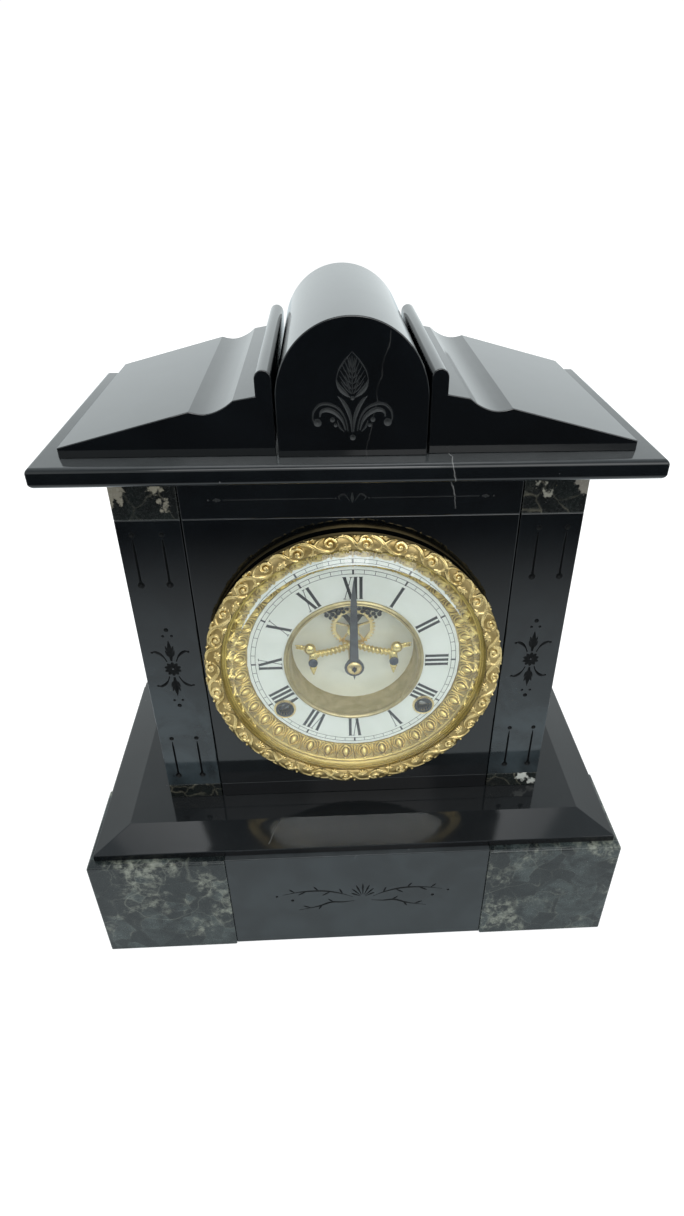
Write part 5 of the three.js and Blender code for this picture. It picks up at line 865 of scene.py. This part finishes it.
def dress_pediment():
    """The arch and its two wedges, with true curves in place of the solids' facets."""
    radius, spring = 31.2, 315.1
    arch = [(-radius, PEDIMENT_FOOT), *arc(0, spring, radius, 72), (radius, PEDIMENT_FOOT)]
    engraved(stone_prism(arch, ARCH_FACE, 0.45, 3, 25), grave_arch(), "arch_stone", "arch_block",
             slate_top, pale_graved)
    cove = smoothed([(-66.6, 310.6), (-63.5, 309.85), (-60.0, 309.6), (-56.2, 310.4),
                     (-52.0, 312.3), (-48.4, 314.8)], 5)
    roll = arc(-35.7, 322.9, 3.5, 16)
    wedge = [(-122.2, PEDIMENT_FOOT), (-122.2, 296.6), *cove, (-39.2, 316.4), *roll, (-32.2, PEDIMENT_FOOT)]
    for name, side in SIDES:
        bm = stone_prism([(-side * x, z) for x, z in wedge], WEDGE_FACE, 0.35, 2, 30)
        finished(bm, "pediment_%s_stone" % name, slate_top, "case", ("pediment_" + name,),
                 crease=STONE_CREASE)


# The cast rings.

SCROLL_REPEATS = 14
SCROLL_PITCH = TURN * 72.3 / SCROLL_REPEATS
SCROLL_BREADTH = 9.4
EGGS = 36
EGG_PITCH = TURN * 60.1 / EGGS
EGG_SLOPE = 7.83
EGG_LIFT = 1.25


def lump(reach, width, height):
    """A rounded ridge of a given width, reach away from its middle line."""
    return height * math.sqrt(max(0.0, 1 - (reach / width) ** 2)) if reach < width else 0.0


def off_line(x, z, line):
    """The shortest way from a place to a drawn line of (x, z, half width), with the width there."""
    best, wide = 99.0, 1.0
    for (ax, az, aw), (bx, bz, bw) in zip(line, line[1:]):
        dx, dz = bx - ax, bz - az
        t = max(0.0, min(1.0, ((x - ax) * dx + (z - az) * dz) / max(1e-9, dx * dx + dz * dz)))
        reach = math.hypot(x - ax - t * dx, z - az - t * dz)
        width = aw + (bw - aw) * t
        if reach / width < best / wide:
            best, wide = reach, width
    return best, wide


def scroll_lines():
    """One repeat of the sash's rocaille: two opposed curls joined by a leafy stem, with shells between.
    Each line is its places of (x, z, half width), its height, and its ends along the ring."""
    pitch, lines = SCROLL_PITCH, []

    def draw(points, widths, height):
        line = [(x, z, w) for (x, z), w in zip(points, widths)]
        lines.append((line, height, (min(x - w for x, _, w in line), max(x + w for x, _, w in line))))

    draw(coil(6.2, -0.5, 3.5, 0.5, 170, -1.35, 26), [1.0 - 0.45 * k / 26 for k in range(27)], 1.0)
    draw(coil(21.6, 0.7, 3.0, 0.5, 10, 1.3, 24), [0.9 - 0.35 * k / 24 for k in range(25)], 0.95)
    for points, half, height in (
            ([(2.8, 0.4), (4.0, 3.4), (8.4, 3.8), (12.4, 2.2), (15.4, -0.8), (18.8, -3.2), (22.6, -3.1),
              (24.9, -0.6)], 1.25, 0.9),
            ([(9.6, -3.4), (12.6, -2.6), (14.0, 0.2), (16.4, 2.8), (19.2, 3.9)], 0.75, 0.7),
            ([(24.4, 2.4), (27.0, 3.7), (30.4, 3.0), (pitch + 0.6, 0.2), (pitch + 2.2, -2.6),
              (pitch + 4.6, -3.8)], 1.1, 0.85)):
        stem = smoothed(points, 4)
        draw(stem, swell(len(stem), half, 0.3), height)
    for x, z, first, step, reaches in ((28.4, -1.6, 205, 31, (3.0, 3.4, 3.2, 3.4, 3.0, 2.6)),
                                       (12.6, -2.4, 200, 36, (2.2, 2.4, 2.6, 2.4)),
                                       (12.4, 3.6, 20, 42, (2.4, 2.0, 2.2, 2.4))):
        for k, reach in enumerate(reaches):
            draw(ray(x, z, first + k * step, reach, (0.2, 0.5, 0.8, 1.0)), [0.3, 0.5, 0.62, 0.4], 0.8)
    for x, z, r in ((6.2, -0.5, 0.95), (21.6, 0.7, 0.85), (28.4, -1.6, 0.9), (0.6, 3.6, 0.7), (25.8, -3.4, 0.6)):
        draw([(x, z), (x + 0.01, z)], [r, r], 1.1)
    return lines


def scroll_height(x, z, lines):
    """How far the casting stands up at a place in one repeat, which joins on to the next.
    The broad lines have a crease along their middle."""
    best = 0.0
    for line, height, (first, last) in lines:
        for shift in (-SCROLL_PITCH, 0.0, SCROLL_PITCH):
            if not first < x + shift < last:
                continue
            reach, width = off_line(x + shift, z, line)
            crease = 0.34 * max(0.0, 1 - reach / (0.35 * width)) if width > 0.75 and len(line) > 9 else 0.0
            best = max(best, lump(reach, width, height) - crease)
    return best


def egg_height(share, across):
    """Egg and dart on the sloping ring: across runs from the outer edge (0) to the inner (1)."""
    x, z = (share - 0.5) * EGG_PITCH, (across - 0.5) * EGG_SLOPE
    narrowing = 1 - 0.4 * max(0.0, -z / 2.9)
    egg = (x / (1.6 * narrowing)) ** 2 + ((z - 0.1) / 2.7) ** 2
    if egg < 1:
        return 0.3 + 1.0 * math.sqrt(1 - egg)
    shell = math.sqrt((x / (2.75 * narrowing)) ** 2 + ((z + 0.1) / 3.55) ** 2)
    outer = math.sqrt((x / (4.0 * narrowing)) ** 2 + ((z - 0.4) / 4.4) ** 2)
    side = EGG_PITCH / 2 - abs(x)
    ridges = [lump(abs(shell - 1) * 2.9, 0.5, 0.75), lump(math.hypot(side, z + 3.1), 0.65, 0.7)]
    if z > -2.6:
        ridges.append(lump(abs(outer - 1) * 4.0, 0.38, 0.5))
    if z > -3.3:
        ridges.append(lump(side, 0.22 + 0.4 * max(0.0, min(1.0, (z + 3.4) / 6)), 0.8))
    return max(ridges)


PLAIN_RELIEF = 0.7


def relief_ring(profile, steps, repeats, height):
    """Turns a profile through one repeat, lifts each point along its own direction by the height of
    its place, and sets the repeat round the whole circle.
    Profile rows are (radius, depth, across, lift radius, lift depth); across None stays plain."""
    bm = bmesh.new()
    relief = bm.verts.layers.float.new("relief")
    ring = [bm.verts.new((0, depth, radius)) for radius, depth, *_ in profile]
    edges = [bm.edges.new((a, b)) for a, b in zip(ring, ring[1:] + ring[:1])]
    bmesh.ops.spin(bm, geom=ring + edges, cent=(0, 0, 0), axis=(0, 1, 0), angle=TURN / repeats,
                   steps=steps, use_merge=False, use_duplicate=False)
    places = KDTree(len(profile))
    for row, (radius, depth, *_) in enumerate(profile):
        places.insert((radius, depth, 0), row)
    places.balance()
    for v in bm.verts:
        radius = math.hypot(v.co.x, v.co.z)
        row = places.find((radius, v.co.y, 0))[1]
        _, _, across, lift_r, lift_y = profile[row]
        v[relief] = PLAIN_RELIEF
        if across is None:
            continue
        share = round(math.atan2(v.co.x, v.co.z) / TURN * repeats * steps) % steps / steps
        up = height(share, across)
        v[relief] = min(1.0, up)
        v.co += Vector((v.co.x / radius * lift_r, lift_y, v.co.z / radius * lift_r)) * up
    one = bpy.data.meshes.new("repeat")
    bm.to_mesh(one)
    bm.clear()
    for _ in range(repeats):
        one.transform(Matrix.Rotation(TURN / repeats, 4, "Y"))
        bm.from_mesh(one)
    bpy.data.meshes.remove(one)
    return bm


def along(points, count):
    """Even places along a bent line of (radius, depth), each with the direction square to it."""
    spans = [math.dist(a, b) for a, b in zip(points, points[1:])]
    total, rows = sum(spans), []
    for k in range(count):
        left, i = total * k / (count - 1), 0
        while i < len(spans) - 1 and left > spans[i]:
            left -= spans[i]
            i += 1
        (ar, ay), (br, by) = points[i], points[i + 1]
        t = left / spans[i]
        square = Vector((by - ay, ar - br)).normalized()
        if square.y > 0:
            square = -square
        rows.append((ar + (br - ar) * t, ay + (by - ay) * t, k / (count - 1), square.x, square.y))
    return rows


def plain(points):
    """Profile rows that carry no relief."""
    return [(radius, depth, None, 0, 0) for radius, depth in points]


def dress_sash():
    """The cast gilt sash: a running rocaille on its face, a plain skirt and the hinge behind."""
    lines = scroll_lines()
    crest = smoothed([(68.5, -9.0), (69.2, -9.5), (70.8, -9.95), (72.6, -9.95), (74.4, -9.4),
                      (75.7, -8.5), (76.1, -7.9)], 5)
    face = [(r, y, (share - 0.5) * SCROLL_BREADTH, lift_r, lift_y)
            for r, y, share, lift_r, lift_y in along(crest, 32)]
    inside = plain([(75.4, -7.1), (73.9, -6.2), (70.2, -6.0), (70.2, -8.5), (68.4, -8.5)])
    bm = relief_ring(face + inside, 110, SCROLL_REPEATS,
                     lambda share, across: scroll_height(share * SCROLL_PITCH, across, lines))
    finished(bm, "sash_casting", sash_gilt, "bezel", ("bezel_ring",), DIAL_CENTRE, crease=60)
    skirt = spun([(73.4, -2.6), (74.7, -2.6), (74.7, -6.4), (73.4, -6.4)], 140,
                 math.radians(-90 + 2.4), math.radians(360 - 4.8))
    finished(skirt, "sash_skirt", casting_back, "bezel", (), DIAL_CENTRE)
    eye = bmesh.new()
    bmesh.ops.create_cone(eye, cap_ends=True, segments=24, radius1=1.6, radius2=1.6, depth=4.2,
                          matrix=Matrix.Translation((-75.6, -3.0, 0)))
    bmesh.ops.create_cube(eye, size=1, matrix=Matrix.Translation((-75.6, -5.4, 0))
                          @ Matrix.Diagonal((1.4, 3.6, 4.2, 1)))
    arrised(eye, 0.15)
    finished(eye, "sash_hinge_eye", casting_back, "bezel", (), DIAL_CENTRE)


def dress_surround():
    """The gilt ring inside the sash: stepped beads at its rim, then egg and dart down to the dial."""
    slope = along([(63.6, -2.1), (56.6, 1.4)], 26)
    foot = [(56.2, 1.6), (56.2, 3.2)]
    rim = [(64.9, 0.4), (64.9, -1.5), (71.2, -1.5), (71.2, -4.8), (71.0, -5.0), (69.6, -5.0), (69.3, -4.85),
           (68.8, -4.2), (68.3, -3.4), (67.9, -3.2), (67.2, -3.2), (66.9, -3.5), (66.5, -3.72), (66.1, -3.72),
           (65.7, -3.55), (65.4, -3.2), (65.1, -2.6), (64.8, -2.8), (64.5, -2.95), (64.1, -2.85), (63.8, -2.55)]
    bm = relief_ring(slope + plain(foot + rim), 32, EGGS, lambda *place: EGG_LIFT * egg_height(*place))
    finished(bm, "egg_ring", ring_gilt, "case", ("dial_surround",), DIAL_CENTRE, crease=60)


def dress_centre_ring():
    """Two beads at the dial's inner edge and the deep plain wall of the recess."""
    bead = [(36.9, 1.9), (36.8, 1.0), (36.3, 0.6), (35.7, 0.5), (35.2, 0.75), (34.95, 1.15), (34.6, 0.95),
            (34.25, 1.0), (34.05, 1.4), (34.0, 2.2)]
    wall = [(33.25, 15.4), (32.9, 16.0), (31.9, 16.6), (31.8, 17.3), (31.8, 18.3), (34.2, 18.3), (36.2, 1.9)]
    finished(spun(bead + wall, 160), "recess_wall", wall_gilt, "case", ("centre_ring",), DIAL_CENTRE)


# The dial.

PAINT_FRONT, PAINT_BACK = 1.955, 2.02
NUMERAL_FOOT, NUMERAL_HEIGHT = 37.8, 12.0
THICK, HAIR, SERIF = 1.55, 0.34, 0.36

# Each letter's advance, and its strokes from (x, share of the height) to another, with their width.
LETTERS = {
    "I": (2.65, [((0, 0), (0, 1), THICK)]),
    "V": (4.9, [((-1.55, 1), (0.1, 0), THICK), ((1.75, 1), (0.2, 0), HAIR)]),
    "X": (5.0, [((-1.7, 1), (1.7, 0), THICK), ((1.6, 1), (-1.6, 0), HAIR)]),
}
HOURS = ("XII", "I", "II", "III", "IIII", "V", "VI", "VII", "VIII", "IX", "X", "XI")


def bar(bm, first, second, width):
    """A flat painted stroke between two places of the dial."""
    side = Vector((-(second - first).y, (second - first).x)).normalized() * (width / 2)
    prism(bm, [first + side, second + side, second - side, first - side], PAINT_FRONT, PAINT_BACK)


def numeral(bm, word, hour):
    """One Roman numeral, its foot towards the dial's centre."""
    turned = Matrix.Rotation(-hour * TURN / 12, 2)

    def at(x, share):
        return turned @ Vector((x, NUMERAL_FOOT + share * NUMERAL_HEIGHT))

    x = -sum(LETTERS[letter][0] for letter in word) / 2
    for letter in word:
        advance, strokes = LETTERS[letter]
        middle = x + advance / 2
        for first, second, wide in strokes:
            bar(bm, at(middle + first[0], first[1]), at(middle + second[0], second[1]), wide)
            for end, share in (first, second):
                if letter == "V" and share == 0:
                    continue
                reach = 1.0 if wide == THICK else 0.75
                bar(bm, at(middle + end - reach, share), at(middle + end + reach, share), SERIF)
        x += advance


def dress_dial():
    """The numerals and the minute track, and the two winding holes with their eyelets. Each hole's throat is
    painted black as painted shade for the dark inside of the hole.
    """
    bm = bmesh.new()
    for hour, word in enumerate(HOURS):
        numeral(bm, word, hour)
    for minute in range(60):
        aim = Matrix.Rotation(-minute * TURN / 60, 2)
        low, high, wide = (51.3, 54.0, 0.9) if minute % 5 == 0 else (51.6, 53.8, 0.24)
        bar(bm, aim @ Vector((0, low)), aim @ Vector((0, high)), wide)
    for inner, outer in ((53.72, 53.96), (51.48, 51.7)):
        spun([(inner, 1.96), (outer, 1.96), (outer, 2.02), (inner, 2.02)], 180, bm=bm)
    finished(bm, "dial_figures", dial_ink_and_hole_shade, "case", (), DIAL_CENTRE)
    eyelet = [(4.75, 1.5), (4.9, 1.1), (5.3, 0.9), (5.75, 1.0), (6.0, 1.4), (6.05, 2.02), (4.7, 2.02)]
    # The throat takes the black ink as painted shade: it stands in for the shadow inside the winding hole.
    throat = [(3.65, 3.4), (3.65, 1.05), (4.85, 0.85), (4.95, 1.2), (3.8, 2.0), (3.8, 3.4)]
    for name, side in SIDES:
        for profile, piece, material in ((eyelet, "winding_eyelet_", wheel_gilt),
                                         (throat, "winding_throat_painted_shade_", dial_ink_and_hole_shade)):
            ring = moved(spun(profile, 64), side * WINDING_HOLE[0], WINDING_HOLE[1])
            finished(ring, piece + name, material, "case", (), DIAL_CENTRE)


def dress_glass():
    """A flat glass with a wide bevel."""
    bm = spun([(0.001, -5.9), (69.9, -5.9), (69.9, -6.05), (69.6, -6.05), (61.9, -11.0), (0.001, -11.0)], 180)
    finished(bm, "glazing", glass, "bezel", ("bezel_glass",), DIAL_CENTRE, crease=5)


# Hands, escapement and back.

def dress_hands():
    """Both hands, the washer that holds them and the end of their arbor."""
    for node, body, arris in (("hour_hand", "hour_pipe", 0.22), ("minute_hand", "minute_arbor", 0.25)):
        finished(rounded(node, arris, 2, 40), node + "_steel", hand_steel, body, (node,), crease=20)
    washer = spun([(0.95, -3.72), (0.95, -4.5), (1.5, -4.9), (3.0, -4.72), (3.75, -4.25), (3.9, -3.9),
                   (3.9, -3.72)], 48)
    finished(washer, "hand_washer", wheel_gilt, "minute_arbor", ("hand_nut",), DIAL_CENTRE)
    stub = spun([(0.001, -3.75), (0.001, -5.5), (0.6, -5.5), (0.78, -5.3), (0.78, -3.75)], 20)
    bmesh.ops.scale(stub, vec=(1.0, 1, 2.3), verts=stub.verts)
    finished(stub, "hand_arbor_end", dark_steel, "minute_arbor", (), DIAL_CENTRE)


def ball(bm, x, y, z, radius, stretch, rings=10):
    """A round or drawn-out bead of a casting."""
    bmesh.ops.create_uvsphere(bm, u_segments=18, v_segments=rings, radius=radius,
                              matrix=Matrix.Translation((x, y, z)) @ Matrix.Diagonal((*stretch, 1)))


def rope(bm, line, radius, pitch, depth, strands):
    """A bar with the look of a twisted cord along a line of (x, z)."""
    path, sections, gone = [Vector((x, depth, z)) for x, z in line], [], 0.0
    for i, point in enumerate(path):
        if i:
            gone += (point - path[i - 1]).length
        ahead = (path[min(i + 1, len(path) - 1)] - path[max(i - 1, 0)]).normalized()
        side, deep = Vector((0, 1, 0)).cross(ahead), Vector((0, 0.8, 0))
        section = []
        for k in range(strands):
            angle = TURN * k / strands
            bulge = radius * (1 + 0.32 * math.cos(TURN * gone / pitch - angle))
            section.append(point + (side * math.cos(angle) + deep * math.sin(angle)) * bulge)
        sections.append(section)
    swept(bm, sections)


BRIDGE_DEPTH = 8.0

# The bridge's balls each side: (x, depth, z, radius, stretch, rings), z from the dial's centre.
BRIDGE_BALLS = (
    (23.0, 8.0, 4.9, 3.2, (1, 0.75, 1), 10), (21.6, 8.2, 0.9, 1.7, (1.1, 0.8, 0.9), 10),
    (25.6, 8.2, 6.0, 1.25, (1.2, 0.7, 0.8), 8), (27.4, 8.2, 6.6, 1.0, (1.2, 0.7, 0.8), 8),
    (29.0, 8.2, 7.0, 0.75, (1.2, 0.7, 0.8), 8), (30.2, 8.2, 7.2, 0.5, (1.2, 0.7, 0.8), 8),
    (21.6, 8.2, -6.6, 2.1, (0.95, 0.7, 1.1), 10), (21.6, 8.2, -8.8, 1.5, (0.85, 0.7, 1.2), 8),
    (21.6, 8.2, -10.6, 0.85, (0.7, 0.7, 1.3), 8),
)

# The leafwork of the pallets each side: (x, depth, z, radius, share deep, share tall).
PALLET_LEAVES = (
    (3.0, 9.7, 27.6, 1.0, 0.55, 1.0), (4.8, 9.7, 25.9, 1.0, 0.5, 1.0), (6.2, 9.7, 28.0, 1.25, 0.5, 1.0),
    (7.6, 9.7, 25.2, 1.1, 0.5, 1.1), (9.2, 9.7, 27.6, 1.35, 0.5, 1.0), (10.6, 9.7, 24.5, 1.1, 0.5, 1.1),
    (12.0, 9.7, 26.7, 1.3, 0.5, 1.0), (13.6, 9.7, 24.2, 1.1, 0.5, 1.2), (14.3, 9.7, 25.8, 0.8, 0.5, 0.9),
    (8.8, 9.7, 23.2, 0.8, 0.5, 1.3), (11.8, 9.7, 22.6, 0.8, 0.5, 1.3), (10.2, 11.6, 26.8, 1.2, 2.0, 1.0),
)


def dress_bridge():
    """The gilt cock in front of the escape wheel: roped arms, balls, wing tips and drops."""
    bm = moved(rounded("escape_bridge", 0.2, 2, 40), 0, -DIAL_CENTRE)
    for _, side in SIDES:
        guide = [(0.0, 6.6), (side * 2.2, 6.5), (side * 8.6, 4.1), (side * 15.1, 2.4), (side * 19.8, 1.7)]
        rope(bm, smoothed(guide, 16), 1.75, 2.3, BRIDGE_DEPTH, 12)
        for x, y, z, radius, stretch, rings in BRIDGE_BALLS:
            ball(bm, side * x, y, z, radius, stretch, rings)
    finished(bm, "bridge_casting", bridge_gilt, "case", ("escape_bridge",), DIAL_CENTRE, crease=50)
    for name, side in SIDES:
        screw = moved(spun([(0.001, 7.2), (0.001, 6.1), (1.9, 6.1), (2.4, 6.4), (2.5, 7.2)], 32), side * 21.6, -3.4)
        finished(screw, "bridge_screw_" + name, blued_steel, "case", (), DIAL_CENTRE)


def dress_escapement():
    """The escape wheel, the pallets with their leafwork, and the cock behind."""
    finished(rounded("escape_wheel", 0.08, 1, 50), "escape_wheel_gilt", wheel_gilt, "escape_arbor",
             ("escape_wheel",), crease=30)
    pallets, cock = rounded("pallets", 0.15, 2, 40), rounded("escape_cock", 0.15, 2, 40)
    for _, side in SIDES:
        for x, y, z, radius, deep, tall in PALLET_LEAVES:
            ball(pallets, side * x, y, DIAL_CENTRE + z, radius, (1.1, deep, tall))
    for bm, node, body in ((pallets, "pallets", "pallet_arbor"), (cock, "escape_cock", "case")):
        finished(bm, node + "_steel", dark_steel, body, (node,), crease=30)


def dress_back():
    """The round door in the back and the ring that it closes on."""
    for node, body in (("back_door", "back_door"), ("back_ring", "case")):
        finished(rounded(node, 0.3, 2, 40), node + "_brass", door_brass, body, (node,), crease=20)


CARRIED = {
    dial_enamel: ("chapter_ring",),
    disc_enamel: ("centre_disc",),
    cut_steel: ("time_winding_arbor", "strike_winding_arbor", "time_mainspring", "strike_mainspring", "hammer"),
    black_iron: ("gong", "gong_stand"),
}


def finish_carried():
    """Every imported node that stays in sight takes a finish; the rest of the movement is brass."""
    chosen = {node: material for material, nodes in CARRIED.items() for node in nodes}
    for node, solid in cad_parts.items():
        solid.data.materials.clear()
        solid.data.materials.append(chosen.get(node, movement_brass))


# The studio: lamps, a pale room and a pale floor.

# Each lamp's place, aim, size, power and spread in degrees, and whether it lights surfaces,
# shows in polished ones, or both.
LAMPS = {
    "overhead_softbox": ((-0.2, -0.1, 1.5), (0, 0, 0.15), 1.3, 14.0, 180, True, False),
    "back_softbox": ((0.1, 1.5, 0.75), (0, 0, 0.25), 1.4, 10.0, 180, True, False),
    "front_softbox": ((0.45, -1.3, 0.95), (0, 0, 0.15), 1.0, 6.0, 180, True, True),
    "gilding_softbox": ((-0.05, -0.98, 0.89), (0, -0.09, 0.085), 0.5, 2.0, 180, False, True),
    "ceiling_strip": ((-0.03, 0.12, 1.5), (-0.03, -0.05, 0), 1.3, 0.9, 52, False, True),
}


def seen_rays(tree):
    """Where a ray comes from the camera, a polished surface or glass, and where from a polished one."""
    rays = put(tree, "LightPath").outputs
    seen = calc(tree, "ADD", rays["Is Camera Ray"], rays["Is Glossy Ray"], clamp=True)
    return calc(tree, "ADD", seen, rays["Is Transmission Ray"], clamp=True), rays["Is Glossy Ray"]


def set_lamps():
    """Hangs every lamp in its place, aimed at its spot on the clock."""
    for name, (place, aim, size, power, spread, lights, shows) in LAMPS.items():
        data = bpy.data.lights.new(name, "AREA")
        data.shape, data.size, data.energy, data.spread = "SQUARE", size, power, math.radians(spread)
        lamp = bpy.data.objects.new(name, data)
        bpy.context.scene.collection.objects.link(lamp)
        lamp.location = place
        lamp.rotation_euler = (Vector(aim) - Vector(place)).to_track_quat("-Z", "Y").to_euler()
        lamp.visible_diffuse, lamp.visible_glossy = lights, shows


def set_room():
    """A pale room: white behind the clock, and greyer overhead in what polished surfaces show."""
    world = bpy.data.worlds.new("studio")
    world.use_nodes = True
    bpy.context.scene.world = world
    tree = world.node_tree
    seen, mirrored = seen_rays(tree)
    ambient = feed(tree.nodes["Background"], Color=(0.97, 0.985, 1.0), Strength=0.85)
    height = split(tree, put(tree, "TexCoord").outputs["Generated"])[2]
    upper = blend(tree, eased(tree, height, 0.45, 0.9), (0.91, 0.985, 1.0), (0.4, 0.455, 0.485))
    white = put(tree, "Background", Color=blend(tree, mirrored, (1, 1, 1), upper), Strength=1.03)
    mixed = put(tree, "MixShader", Fac=seen, i1=ambient.outputs[0], i2=white.outputs[0])
    feed(tree.nodes["World Output"], Surface=mixed.outputs[0])


def set_floor():
    """A sheet of pale paper, which polished surfaces show darker towards the front of the room."""
    bm = bmesh.new()
    bmesh.ops.create_grid(bm, x_segments=1, y_segments=1, size=3.0)
    mesh = bpy.data.meshes.new("floor")
    bm.to_mesh(mesh)
    bm.free()
    floor = bpy.data.objects.new("floor", mesh)
    bpy.context.scene.collection.objects.link(floor)
    material = bpy.data.materials.new("studio_paper")
    material.use_nodes = True
    mesh.materials.append(material)
    tree = material.node_tree
    seen, mirrored = seen_rays(tree)
    spot = put(tree, "TexCoord").outputs["Object"]
    room = times(tree, eased(tree, split(tree, spot)[1], -0.62, -0.2, 1.0, 0.0), mirrored)
    sheet = blend(tree, put(tree, "TexNoise", Vector=spot, Scale=300.0).outputs[0],
                  (0.88, 0.88, 0.88), (0.92, 0.92, 0.92))
    paper = feed(tree.nodes["Principled BSDF"], Roughness=0.9,
                 Base_Color=blend(tree, room, sheet, (0.02, 0.022, 0.025)))
    glow = put(tree, "Emission", Color=blend(tree, mirrored, (1, 1, 1), (0.57, 0.69, 0.73)), Strength=1.25)
    shown = times(tree, calc(tree, "SUBTRACT", seen, room, clamp=True), 0.6)
    mixed = put(tree, "MixShader", Fac=shown, i1=paper.outputs[0], i2=glow.outputs[0])
    feed(tree.nodes["Material Output"], Surface=mixed.outputs[0])


finish_carried()
dress_case()
dress_engraved()
dress_pediment()
dress_sash()
dress_surround()
dress_centre_ring()
dress_dial()
dress_glass()
dress_hands()
dress_bridge()
dress_escapement()
dress_back()

bpy.context.scene.view_settings.view_transform = "Standard"
set_room()
set_lamps()
set_floor()
